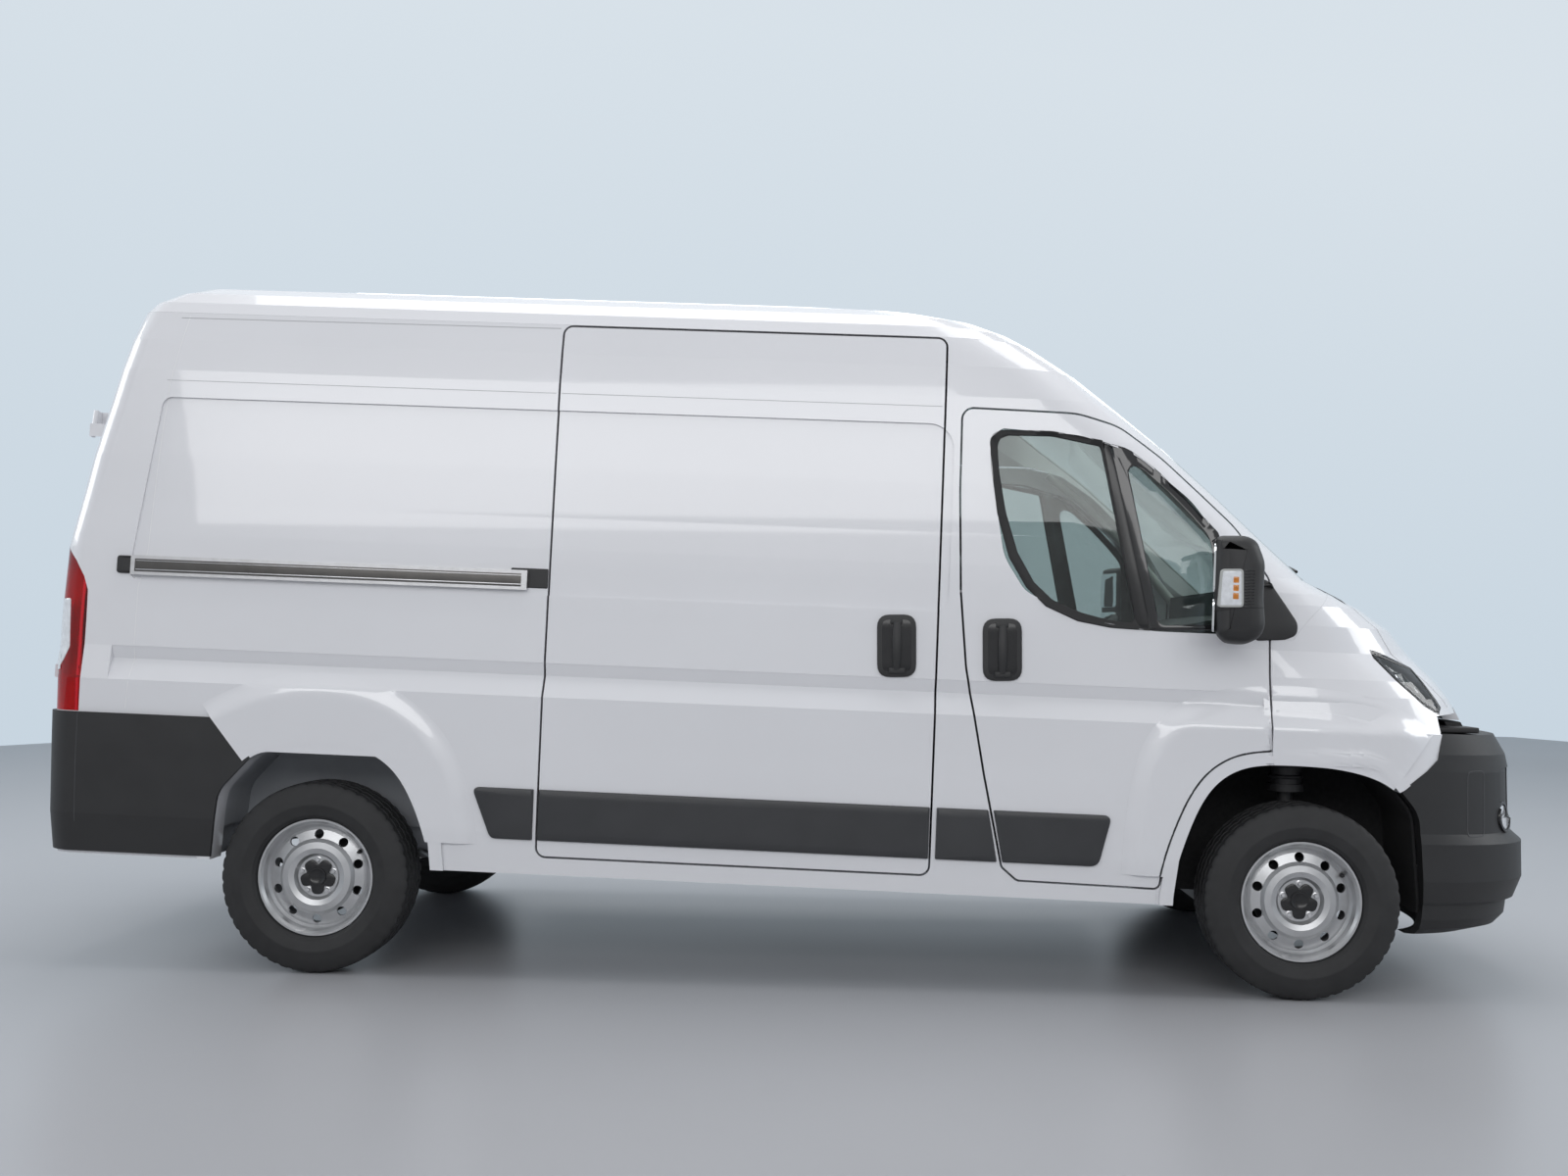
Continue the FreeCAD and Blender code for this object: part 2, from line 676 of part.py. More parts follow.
def make_side():
    frame = side_wire(
        (
            (behind(1) - S.overrun, S.sill_level - S.overrun),
            (ahead(-0.10), S.sill_level - S.overrun),
            (ahead(-0.10), rise(0.441)),
            (ahead(0.60), rise(0.441)),
            (ahead(0.60), S.gutter_level),
            (behind(1) - S.overrun, S.gutter_level),
        )
    )
    holes = (grown(door_wire, S.gap), grown(wing_wire, S.rest_gap), rear_arch)
    keep = right_walls.common(side_prism(frame, RIGHT, holes=holes))
    cuts = [
        centre_zone(screen_half, x_low=screen_rear),
        centre_zone(S.rear_seam + S.gap, x_high=behind(0.5)),
        tail_lamp_cut,
        panel_recess,
        swage,
    ]
    corner_edge = grown(bumper_corner_wire, S.rest_gap)
    band = side_prism(grown(rear_arch, S.lip_width), RIGHT, S.half_width * 0.9, holes=(rear_arch, corner_edge))
    flare = proud.common(band).cut(lining)
    return solids_of(less(keep.fuse(flare), cuts).fuse(make_door_hinges("body")).fuse(make_striker()))


def make_roof():
    top = walls.common(everything(z_low=S.gutter_level + S.rest_gap))
    header = walls.common(centre_zone(screen_half, screen_rear, far, screen_high, S.gutter_level + S.gap))
    back = walls.common(
        centre_zone(S.rear_seam, -far, behind(0.5), rear_door_high + S.gap + S.swing_rise, S.gutter_level + S.gap)
    )
    return solids_of(top.fuse([header, back]))


def tower_form(radius, top):
    base = Vector(front_axle, tower_middle, S.hub_height + S.arch_front * 0.8)
    return Part.makeCylinder(radius, top - base.z, base)


tower_top = S.hub_height + S.tower_height
tower_middle = -(S.front_track / 2 - S.kingpin_inset) + S.tower_lean
liner_space = side_prism(grown(front_arch, S.sheet_metal + S.rest_gap), RIGHT, S.liner_wall - S.sheet_metal)


arch_space = liner_space.fuse(tower_form(S.tower_radius + S.rest_gap, tower_top + S.rest_gap))

bonnet_rear = front_axle + S.bonnet_rear
bonnet_axis = Vector(bonnet_rear - S.bonnet_gap + S.bonnet_pin / 2, 0, screen_low - S.bonnet_pin * 3)
hinge_pockets = []
for hand in (LEFT, RIGHT):
    middle = hand * S.bonnet_hinge_spread
    pocket = block(
        bonnet_axis.x - S.bonnet_pin * 4, far, middle - S.bonnet_pin * 4, middle + S.bonnet_pin * 4,
        bonnet_axis.z - S.bonnet_pin * 4, far,
    )
    hinge_pockets.append(pocket)


def bonnet_barrel(radius, middle, half):
    """A round piece about the bonnet's hinge line."""
    start = Vector(bonnet_axis.x, middle - half, bonnet_axis.z)
    return Part.makeCylinder(radius, half * 2, start, Vector(0, 1, 0))


def make_bonnet():
    low = S.shelf_level + S.grille_depth + S.gap
    region = centre_zone(S.bonnet_half - half_gap, bonnet_rear, far, low, screen_low)
    lid = less(panels.common(region), (lamp_cut, mirrored(lamp_cut), lamp_under, mirrored(lamp_under)))
    for hand in (LEFT, RIGHT):
        middle = hand * S.bonnet_hinge_spread
        eye = bonnet_barrel(S.bonnet_pin * 2, middle, S.bonnet_pin * 2)
        arm = block(
            bonnet_axis.x, bonnet_rear + S.skin * 1.5, middle - S.bonnet_pin, middle + S.bonnet_pin,
            bonnet_axis.z - S.bonnet_pin * 2, bonnet_axis.z,
        )
        bore = bonnet_barrel(S.bonnet_pin + S.rest_gap, middle, S.bonnet_pin * 4)
        lid = lid.fuse(arm).fuse(eye).cut(bore)
    return solids_of(lid)


def make_grille():
    region = centre_zone(
        S.lamp_inner - S.gap, front_axle, far, S.shelf_level + S.rest_gap, S.shelf_level + S.grille_depth
    )
    return solids_of(panels.common(region))


def make_front_trim():
    return Part.makeCompound([make_front_bumper(), make_grille()])


def make_seats():
    return Part.makeCompound([make_driver_seat(), make_bench()])


def make_cowl():
    """Firewall with the cowl box below the windscreen."""
    wall_block = centre_zone(
        S.firewall_half, firewall_face, firewall_face + S.firewall_depth, S.floor_level, rise(0.436)
    )
    shelf = centre_zone(
        S.bonnet_half - half_gap,
        firewall_face,
        bonnet_rear - S.bonnet_gap,
        rise(0.430),
        screen_low - S.rest_gap,
    )
    solid = outer.common(shelf).fuse(inner.common(wall_block))
    solid = less(solid, (arch_space, mirrored(arch_space), windscreen_space, *hinge_pockets))
    for hand in (LEFT, RIGHT):
        pin = bonnet_barrel(S.bonnet_pin, hand * S.bonnet_hinge_spread, S.bonnet_pin * 5)
        solid = solid.fuse(pin)
    return solids_of(solid)


windscreen_space = zone(SCREEN_SHARES, S.cowl_level, S.gutter_level, 0, 0, 0).cut(
    zone(SCREEN_SHARES, S.cowl_level, S.gutter_level, S.recess, S.recess * 2, 0)
)
windscreen_space = windscreen_space.common(
    centre_zone(screen_half - S.rest_gap, along(0.42), far, screen_low, screen_high - S.rest_gap)
)


# The front bumper has its own outline: a shelf, a set-back band, a proud lower step and a chin.
BUMPER_SHARES = (
    (0.0, 0.86, 0.677),
    (0.021, 0.92, 0.814),
    (0.056, 0.95, 0.909),
    (0.104, 0.965, 0.940),
    (0.174, 0.975, 0.944),
    (0.190, 0.978, 0.972),
    (0.292, 0.990, 1.000),
    (0.472, 0.996, 0.993),
    (0.521, 0.997, 0.946),
    (0.680, 0.998, 0.940),
    (0.819, 0.999, 0.935),
    (0.903, 1.0, 0.919),
    (1.0, 1.0, 0.872),
)


def bumper_form(inset, drop):
    wires = []
    for share, width, nose in BUMPER_SHARES:
        level = lerp(S.bumper_low, S.shelf_level - drop, share)
        wires.append(
            plan_outline(
                level,
                S.half_width * width - inset,
                ahead(nose) - inset,
                ahead(-0.536),
                rear_axle,
                4.0,
                0,
                S.corner_radius,
            )
        )
    return Part.makeLoft(wires, True, True)


def make_front_bumper():
    shell = bumper_form(0, 0).cut(bumper_form(S.bumper_wall, S.skin))
    region = block(front_axle, far, -far, far, -far, far)
    both = side_prism(bumper_wire, RIGHT, -S.half_width - S.overrun)
    shell = shell.common(region).common(both)
    openings = (
        centre_zone(S.intake_half, front_axle, far, rise(0.140), rise(0.222)),
        centre_zone(S.slot_half, front_axle, far, rise(0.012), rise(0.052)),
    )
    for opening in openings:
        along_x = [edge for edge in opening.Edges if edge.BoundBox.XLength > S.overrun]
        shell = shell.cut(opening.makeFillet(S.skin, along_x))
    pocket = block(front_axle, far, S.fog_inner, S.fog_outer, rise(0.155), rise(0.240))
    along_x = [edge for edge in pocket.Edges if edge.BoundBox.XLength > S.overrun]
    pocket = pocket.makeFillet(S.skin, along_x).cut(bumper_form(S.recess, 0))
    shell = less(shell, (pocket, mirrored(pocket)))
    return solids_of(less(shell, (arch_space, mirrored(arch_space))))


def make_windscreen():
    return solids_of(windscreen_space)


def make_headlamps():
    lamp = solids_of(right_walls.common(lamp_fill))
    return Part.makeCompound([lamp, mirrored(lamp)])


def make_tail_lamps():
    lamp = solids_of(right_walls.common(tail_lamp_fill))
    return Part.makeCompound([lamp, mirrored(lamp)])


def make_rear_bumper():
    corner = cladding.common(bumper_corner_fill).cut(side_prism(rear_arch, RIGHT))
    corner = solids_of(corner)
    pad = block(
        behind(1),
        behind(0.974),
        -S.rear_hinge - S.pad_width,
        -S.rear_seam - S.gap,
        rise(0.182),
        rise(0.220),
    ).cut(outer)
    corner = corner.fuse(pad)
    step = block(
        behind(0.992),
        rear_inside - S.rest_gap,
        -S.rear_seam + S.gap,
        S.rear_seam - S.gap,
        S.sill_level + S.skin,
        rear_door_low - S.gap,
    )
    step = step.makeFillet(S.step_fillet, [edge for edge in step.Edges if edge.Length > S.rear_seam])
    return Part.makeCompound([solids_of(corner), mirrored(solids_of(corner)), step])


def make_rear_door():
    region = block(
        -far, behind(0.5), -S.rear_seam, -S.rear_centre_gap / 2, rear_door_low, rear_door_high
    )
    door = right_walls.common(region)
    relief = pressed.common(block(-far, behind(0.5), -S.flange_width / 2, far, -far, far))
    return solids_of(door.cut(relief).fuse(make_door_hinges("door")))


def make_front_door():
    region = side_prism(door_wire, RIGHT, holes=(window_wire,))
    door = right_walls.common(region).cut(swage)
    slot = block(
        -far, striker_x + S.striker_length + S.gap, -S.striker_line - S.striker_radius - S.rest_gap, 0,
        striker_z - S.striker_radius - S.rest_gap, striker_z + S.striker_radius + S.rest_gap,
    )
    return solids_of(door.cut(slot))


def make_door_glass():
    pane = pressed.common(window_cut).cut(glass_back)
    return solids_of(pane, 0.1)


def make_sliding_door():
    return solids_of(less(right_walls.common(slide_fill), (panel_recess, swage)))


def make_floor():
    plate = inner.common(
        block(rear_inside, firewall_face - S.rest_gap, -far, far, S.floor_level - S.floor_plate, S.floor_level)
    )
    shell = side_prism(grown(rear_arch, S.sheet_metal), RIGHT, S.wheelbox_wall - S.sheet_metal)
    box = inner.common(shell).common(everything(z_low=S.floor_level - S.floor_plate))
    plate = plate.fuse([box, mirrored(box)])
    plate = less(plate, (rear_arch_cut, mirrored(rear_arch_cut), liner_space, mirrored(liner_space)))
    rails = []
    for hand in (LEFT, RIGHT):
        middle = hand * S.rail_spread
        rails.append(
            block(
                behind(0.88),
                ahead(0.62),
                middle - S.rail_width / 2,
                middle + S.rail_width / 2,
                S.floor_level - S.floor_plate - S.rail_depth,
                S.floor_level - S.floor_plate,
            )
        )
    for share in (0.15, 0.40, 0.62, 0.84, 1.12):
        x = along(share)
        rails.append(
            block(
                x - S.rail_width / 2,
                x + S.rail_width / 2,
                -S.cross_half,
                S.cross_half,
                S.floor_level - S.floor_plate - S.rail_depth * 0.6,
                S.floor_level - S.floor_plate,
            )
        )
    board = block(
        rear_inside + S.board_margin, bulkhead_face - S.bulkhead_plate - S.board_margin,
        -S.board_half, S.board_half, S.floor_level - S.floor_plate, S.floor_level + S.board_plate,
    )
    beside = side_prism(grown(rear_arch, S.board_margin), RIGHT, S.wheelbox_wall - S.board_margin)
    board = less(board, (beside, mirrored(beside)))
    door_rear = ahead(DOOR_SHARES[DOOR_REAR_CORNER][0])
    sill = block(door_rear - S.gap, front_seam + S.gap, -far, S.wall + S.gap - S.half_width, -far, far)
    plate = less(plate.fuse(rails), (sill, mirrored(sill)))
    return solids_of(plate.fuse(board))


def make_liners():
    """The inner wheel arches in front, each with its strut tower."""
    tower = tower_form(S.tower_radius, tower_top)
    hollow = tower_form(S.tower_radius - S.sheet_metal, tower_top - S.sheet_metal)
    solid = side_prism(grown(front_arch, S.sheet_metal), RIGHT, S.liner_wall - S.sheet_metal, S.liner_outer)
    solid = solid.fuse(tower)
    space = side_prism(front_arch, RIGHT, S.liner_wall).fuse(hollow)
    liner = solid.cut(space).common(everything(z_low=S.sill_level)).common(lining)
    liner = liner.cut(door_space)
    liner = solids_of(liner)
    return Part.makeCompound([liner, mirrored(liner)])


door_space = outer.cut(inner).common(side_prism(grown(door_wire, S.gap * 2), RIGHT))


def handle_zone(x_low, x_high):
    return block(x_low, x_high, -far, 0, rise(0.356), rise(0.4545))


def make_mouldings():
    """Rubbing strips on the fixed panels and the sliding door."""
    strips = []
    spans = (
        (along(0.8370), along(0.7725)),
        (along(0.7690), along(0.3735)),
        (along(0.3700), along(0.3090)),
    )
    for x_low, x_high in spans:
        cutter = block(x_low, x_high, -far, 0, S.moulding_low, S.moulding_high)
        strip = solids_of(cladding.common(cutter))
        strips.append(strip)
    whole = block(spans[0][0], spans[2][1], -far, 0, S.moulding_low, S.moulding_high)
    strips.append(mirrored(solids_of(cladding.common(whole))))
    strips.append(solids_of(cladding.common(handle_zone(along(0.4334), along(0.3917)))))
    return Part.makeCompound(strips)


def make_slide_rail():
    low = rise(0.4728)
    high = rise(0.5059)
    solid = proud.common(block(behind(0.708), along(0.7936), -far, 0, low, high)).cut(pressed)
    return solids_of(solid)


steering_centre = Vector(ahead(-0.645), S.driver_middle, rise(0.432))
steering_axis = Vector(-math.sin(math.radians(S.wheel_tilt)), 0, math.cos(math.radians(S.wheel_tilt)))


def column_form(radius):
    return Part.makeCylinder(radius, S.column_length, steering_centre, -steering_axis)


def make_dashboard():
    points = (
        (ahead(-0.1470), rise(0.2250)),
        (ahead(-0.4500), rise(0.2400)),
        (ahead(-0.5500), rise(0.3300)),
        (ahead(-0.5700), rise(0.4200)),
        (ahead(-0.5200), rise(0.4500)),
        (ahead(-0.3200), rise(0.4700)),
        (ahead(-0.1470), rise(0.4870)),
    )
    wire = side_wire(points, [S.skin, S.skin, S.skin, S.skin, S.skin, S.skin, 0])
    solid = side_prism(wire, LEFT, -S.dash_half, S.dash_half)
    column = column_form(S.steering_grip * 1.6 + S.rest_gap)
    return solids_of(less(solid, (arch_space, mirrored(arch_space), column)))


def cushion(x_low, x_high, y_low, y_high, z_low, z_high, radius):
    solid = block(x_low, x_high, y_low, y_high, z_low, z_high)
    return solid.makeFillet(radius, solid.Edges)


def make_seat(y_low, y_high, places):
    """A seat on its box: squab, backrest and one headrest for each place."""
    back_x = bulkhead_face + S.gap
    squab_top = S.floor_level + S.seat_height
    base = block(
        back_x + S.seat_inset, back_x + S.squab_depth * 0.9, y_low + S.seat_inset, y_high - S.seat_inset,
        S.floor_level, squab_top - S.cushion,
    )
    squab = cushion(
        back_x, back_x + S.squab_depth, y_low, y_high, squab_top - S.cushion, squab_top, S.cushion_radius
    )
    back = cushion(
        back_x, back_x + S.cushion, y_low, y_high, squab_top - S.cushion / 2, squab_top + S.back_height,
        S.cushion_radius,
    )
    solid = base.fuse([squab, back])
    width = (y_high - y_low) / places
    for i in range(places):
        middle = y_low + width * (i + 0.5)
        top = squab_top + S.back_height + S.gap
        rest = cushion(
            back_x, back_x + S.cushion * 0.8, middle - S.headrest / 2, middle + S.headrest / 2,
            top, top + S.headrest * 0.7, S.cushion_radius,
        )
        stem = block(
            back_x + S.cushion * 0.3, back_x + S.cushion * 0.5, middle - S.gap, middle + S.gap,
            top - S.cushion_radius, top + S.cushion_radius,
        )
        solid = solid.fuse([rest, stem])
    return solids_of(solid)


def make_driver_seat():
    return make_seat(S.driver_middle - S.seat_width / 2, S.driver_middle + S.seat_width / 2, 1)


def make_bench():
    return make_seat(-S.bench_outer, S.bench_inner, 2)


def make_steering_wheel():
    centre = steering_centre
    axis = steering_axis
    rim = Part.makeTorus(S.steering_radius, S.steering_grip, centre, axis)
    boss = Part.makeCylinder(S.steering_radius * 0.32, S.steering_grip * 3, centre - axis * S.steering_grip * 2, axis)
    column = column_form(S.steering_grip * 1.6)
    solid = rim.fuse([boss, column])
    side = Vector(0, 1, 0)
    ahead_axis = axis.cross(side)
    for direction in (side, -side, ahead_axis):
        spoke = Part.makeCylinder(S.steering_grip * 0.7, S.steering_radius, centre, direction)
        solid = solid.fuse(spoke)
    return solids_of(solid)


BULKHEAD_FIT_SHARE = 0.9993


def make_bulkhead():
    plate = block(
        bulkhead_face - S.bulkhead_plate, bulkhead_face, -far, far, S.floor_level + S.rest_gap, far
    )
    wall = inner.common(plate)
    wall.scale(BULKHEAD_FIT_SHARE, Vector(bulkhead_face, 0, S.floor_level + S.rest_gap))
    return solids_of(wall)


def make_engine():
    solid = block(
        ahead(0.05), ahead(0.47), -S.engine_half, S.engine_half, S.sill_level, rise(0.36)
    )
    solid = solid.makeFillet(S.skin, solid.Edges)
    inner_rail = S.rail_spread - S.rail_width / 2 - S.rest_gap
    level = S.floor_level - S.floor_plate - S.rail_depth / 2
    bar = centre_zone(inner_rail, ahead(0.25), ahead(0.30), level, level + S.rail_depth / 4)
    return solid.fuse(bar)


def make_radiator():
    """Radiator and its frame on the front ends of the chassis rails."""
    front = ahead(0.62) + S.rest_gap
    half = S.rail_spread + S.rail_width / 2
    low = S.floor_level - S.floor_plate - S.rail_depth
    return block(front, front + S.radiator_depth, -half, half, low, S.shelf_level - S.grille_depth)


def make_mirror():
    """Door mirror, its foot on the window corner and its arm."""
    low = rise(0.4279)
    high = rise(0.6028)
    inner_y = S.half_width + S.mirror_stand
    head = cushion(
        ahead(-0.402), ahead(-0.217), -inner_y - S.mirror_width, -inner_y, low, high, S.mirror_radius
    )
    arm = block(
        ahead(-0.330), ahead(-0.240), -inner_y - S.mirror_radius, -S.half_width * 0.93, rise(0.475), rise(0.510)
    )
    return head.fuse(arm)


def make_door_trim():
    mirror = make_mirror()
    strip = cladding.common(
        block(along(0.3045), ahead(-0.697), -far, 0, S.moulding_low, S.moulding_high)
    ).common(door_fill)
    handle = cladding.common(handle_zone(ahead(-1.188), ahead(-1.034)))
    foot = proud.common(
        block(ahead(-0.330), ahead(-0.226), -far, 0, rise(0.447), rise(0.520))
    ).common(window_cut).cut(pressed)
    mirror = solids_of(mirror.cut(outer).fuse(foot))
    parts = [mirror, solids_of(strip), solids_of(handle)]
    return Part.makeCompound(parts)


# Running gear. Wheels and tyres are drawn at their own centres and bound to the sheet.
WHEEL_SHARES = (
    (1.00, 1.000),
    (1.00, 0.966),
    (0.87, 0.925),
    (0.60, 0.893),
    (0.49, 0.850),
    (0.56, 0.800),
    (0.68, 0.655),
    (0.82, 0.595),
    (0.87, 0.490),
    (0.80, 0.400),
    (0.61, 0.350),
    (0.61, 0),
    (0.50, 0),
    (0.50, 0.375),
    (0.69, 0.440),
    (0.75, 0.500),
    (0.71, 0.560),
    (0.57, 0.620),
    (0.46, 0.765),
    (0.36, 0.815),
    (-0.12, 0.820),
    (-0.38, 0.878),
    (-0.86, 0.893),
    (-0.92, 0.960),
    (-1.00, 0.970),
    (-1.00, 1.000),
    (-0.90, 1.000),
    (-0.83, 0.922),
    (-0.34, 0.922),
    (-0.08, 0.860),
    (0.34, 0.860),
    (0.56, 0.922),
    (0.83, 0.922),
    (0.90, 1.000),
)
TYRE_SHARES = (
    (-0.60, 0.5670),
    (-0.78, 0.6150),
    (-0.94, 0.7000),
    (-1.00, 0.7950),
    (-0.98, 0.8850),
    (-0.88, 0.9600),
    (-0.74, 0.9890),
    (0.00, 1.0000),
    (0.74, 0.9890),
    (0.88, 0.9600),
    (0.98, 0.8850),
    (1.00, 0.7950),
    (0.94, 0.7000),
    (0.78, 0.6150),
    (0.60, 0.5670),
)


def plane_of(body, role):
    return next(o for o in body.Origin.OriginFeatures if o.Role == role)


def bound_sketch(body, name, role, points):
    """A closed polygon whose corners are dimensioned by expressions on the sheet."""
    sketch = body.newObject("Sketcher::SketchObject", name)
    sketch.AttachmentSupport = (plane_of(body, role), [""])
    sketch.MapMode = "FlatFace"
    places = [(sketch.evalExpression(a), sketch.evalExpression(b)) for a, b in points]
    corners = [Vector(float(a), float(b), 0) for a, b in places]
    for i, corner in enumerate(corners):
        sketch.addGeometry(Part.LineSegment(corner, corners[(i + 1) % len(corners)]))
    count = len(corners)
    for i in range(count):
        sketch.addConstraint(Sketcher.Constraint("Coincident", i, 2, (i + 1) % count, 1))
    for i, (across, up) in enumerate(points):
        for kind, expression, value in (("DistanceX", across, corners[i].x), ("DistanceY", up, corners[i].y)):
            index = sketch.addConstraint(Sketcher.Constraint(kind, -1, 1, i, 1, value))
            sketch.setExpression(f"Constraints[{index}]", expression)
    return sketch


def turned(body, sketch, name):
    """Revolves a sketch on the YZ plane about the Y axis."""
    turn = body.newObject("PartDesign::Revolution", name)
    turn.Profile = sketch
    turn.ReferenceAxis = (sketch, ["H_Axis"])
    turn.Angle = FULL
    body.Tip = turn
    return turn


def ring_of_holes(body, name, radius, circle, count):
    """Round holes through the disc, spread evenly about the wheel's axis."""
    sketch = body.newObject("Sketcher::SketchObject", f"{name}_sketch")
    sketch.AttachmentSupport = (plane_of(body, "XZ_Plane"), [""])
    sketch.MapMode = "FlatFace"
    place = Vector(0, float(sketch.evalExpression(circle)), 0)
    sketch.addGeometry(Part.Circle(place, Vector(0, 0, 1), float(sketch.evalExpression(radius))))
    size = sketch.addConstraint(Sketcher.Constraint("Radius", 0, float(sketch.evalExpression(radius))))
    sketch.setExpression(f"Constraints[{size}]", radius)
    sketch.addConstraint(Sketcher.Constraint("PointOnObject", 0, 3, -2))
    up = sketch.addConstraint(Sketcher.Constraint("DistanceY", -1, 1, 0, 3, place.y))
    sketch.setExpression(f"Constraints[{up}]", circle)
    pocket = body.newObject("PartDesign::Pocket", name)
    pocket.Profile = sketch
    pocket.Type = "ThroughAll"
    pocket.Midplane = True
    body.Tip = pocket
    doc.recompute()
    pattern = body.newObject("PartDesign::PolarPattern", f"{name}_ring")
    pattern.Originals = [pocket]
    pattern.Axis = (plane_of(body, "Y_Axis"), [""])
    pattern.Angle = FULL
    pattern.Occurrences = count
    body.Tip = pattern
    return pattern


def make_wheel(name, place):
    body = doc.addObject("PartDesign::Body", name)
    body.Label = name
    points = []
    for across, out in WHEEL_SHARES:
        radius = f"Sizes.rim_flange * {out}" if out else "Sizes.hub_bore"
        points.append((f"Sizes.rim_width / 2 * {across}", radius))
    turned(body, bound_sketch(body, f"{name}_profile", "YZ_Plane", points), f"{name}_turn")
    doc.recompute()
    ring_of_holes(body, f"{name}_vents", "Sizes.vent_hole", "Sizes.vent_circle", 10)
    ring_of_holes(body, f"{name}_bolts", "Sizes.bolt_hole", "Sizes.bolt_circle / 2", 5)
    body.Placement = place
    sheet_nodes.append(body)
    return body


def make_tyre(name, place):
    body = doc.addObject("PartDesign::Body", name)
    body.Label = name
    points = [(f"Sizes.tyre_width / 2 * {a}", f"Sizes.hub_height * {r}") for a, r in TYRE_SHARES]
    turned(body, bound_sketch(body, f"{name}_profile", "YZ_Plane", points), f"{name}_turn")
    body.Placement = place
    sheet_nodes.append(body)
    return body

front_wheel_y = S.front_track / 2
rear_wheel_y = S.rear_track / 2
kingpin_y = front_wheel_y - S.kingpin_inset
Y_AXIS = Vector(0, 1, 0)
Z_AXIS = Vector(0, 0, 1)


def rod(start, end, radius):
    return Part.makeCylinder(radius, (end - start).Length, start, end - start)


def disc(x, y, z, radius, depth):
    """A round plate about a wheel's axis, from y outboard to the left."""
    return Part.makeCylinder(radius, depth, Vector(x, y, z), Y_AXIS)


def end_of_axle(x, tyre_y, face):
    """Hub, brake disc and spindle at one wheel, outboard to the left of the tyre centre plane."""
    hub = disc(x, tyre_y - S.hub_back, S.hub_height, S.hub_body, S.hub_back + face - S.hub_play)
    spindle = disc(x, tyre_y, S.hub_height, S.hub_bore - S.spindle_play, face + S.spindle_reach)
    brake = disc(x, tyre_y - S.brake_back, S.hub_height, S.brake_radius, S.brake_plate)
    return hub.fuse(spindle).fuse(brake)


def make_knuckle():
    """Left steering knuckle with its hub, brake, strut and steering arm."""
    x = front_axle
    z = S.hub_height
    disc_face = S.rim_width / 2 * WHEEL_SHARES[12][0]
    solid = end_of_axle(x, front_wheel_y, disc_face)
    strut_y = front_wheel_y - S.tyre_width / 2 - S.strut_tube - S.gap
    foot = Vector(x, strut_y, z - S.hub_body)
    bend = Vector(x, strut_y, z + S.hub_height + S.skin)
    top = Vector(x, kingpin_y, tower_top - S.skin)
    coil_foot = Vector(x, kingpin_y, bend.z)
    solid = solid.fuse(rod(foot, bend + Z_AXIS * S.skin, S.strut_tube))
    solid = solid.fuse(rod(coil_foot, top, S.strut_tube * 0.6))
    solid = solid.fuse(rod(coil_foot, coil_foot + Z_AXIS * S.skin, S.coil_radius))
    carrier = block(
        x - S.hub_body, x + S.hub_body, strut_y - S.strut_tube, front_wheel_y - S.hub_back + S.gap,
        z - S.hub_body, z + S.hub_body,
    )
    solid = solid.fuse(carrier)
    ball = rod(Vector(x, kingpin_y, S.arm_level - S.skin), Vector(x, kingpin_y, z), S.ball_radius)
    arm = block(
        x - S.steering_arm, x, strut_y - S.strut_tube, strut_y + S.strut_tube * 0.6, z - S.gap * 2, z + S.gap * 2
    )
    solid = solid.fuse(ball).fuse(arm)
    sleeve = rod(coil_foot, top - Z_AXIS * S.skin, S.coil_radius - S.coil_wire * 1.2)
    solid = solid.fuse(sleeve)
    for turn in range(COIL_TURNS):
        level = lerp(bend.z + S.skin * 2, top.z - S.skin * 2, turn / (COIL_TURNS - 1))
        solid = solid.fuse(Part.makeTorus(S.coil_radius - S.coil_wire, S.coil_wire, Vector(x, kingpin_y, level)))
    return solid


COIL_TURNS = 6


def make_subframe():
    """Front crossmember with the lower arms and the steering rack."""
    low = S.arm_level - S.skin
    solid = block(
        front_axle - S.subframe_length / 2, front_axle + S.subframe_length / 2,
        -S.rail_spread, S.rail_spread, low, S.arm_level + S.skin * 1.5,
    )
    eye = Part.makeCylinder(S.ball_radius * 1.7, S.skin, Vector(front_axle, kingpin_y, S.arm_level - S.skin / 2))
    points = [
        Vector(front_axle + S.subframe_length / 2, S.rail_spread - S.skin, low + S.gap),
        Vector(front_axle + S.ball_radius, kingpin_y, low + S.gap),
        Vector(front_axle - S.ball_radius, kingpin_y, low + S.gap),
        Vector(front_axle - S.subframe_length / 2, S.rail_spread - S.skin, low + S.gap),
    ]
    plate = Part.Face(Part.makePolygon(points + points[:1])).extrude(Z_AXIS * S.skin)
    bore = Part.makeCylinder(
        S.ball_radius + S.rest_gap, S.coil_radius * 4, Vector(front_axle, kingpin_y, low - S.coil_radius)
    )
    left = plate.fuse(eye).cut(bore)
    solid = solid.fuse(left).fuse(mirrored(left))
    rail_space = everything(z_low=S.floor_level - S.floor_plate - S.rail_depth - S.rest_gap)
    rail_space.Placement = PITCH
    for hand in (LEFT, RIGHT):
        post = block(
            front_axle - S.rail_width, front_axle + S.rail_width,
            hand * S.rail_spread - S.rail_width / 2, hand * S.rail_spread + S.rail_width / 2,
            S.arm_level, S.floor_level - S.floor_plate,
        )
        solid = solid.fuse(post.cut(rail_space))
    rack_x = front_axle - S.steering_arm
    rack = rod(
        Vector(rack_x, -S.rail_spread - S.rail_width, S.rack_level),
        Vector(rack_x, S.rail_spread + S.rail_width, S.rack_level),
        S.strut_tube,
    )
    stay = block(
        rack_x - S.gap, rack_x + S.gap * 2, -S.rail_spread / 2, S.rail_spread / 2,
        S.arm_level, S.rack_level,
    )
    return solid.fuse(rack).fuse(stay)


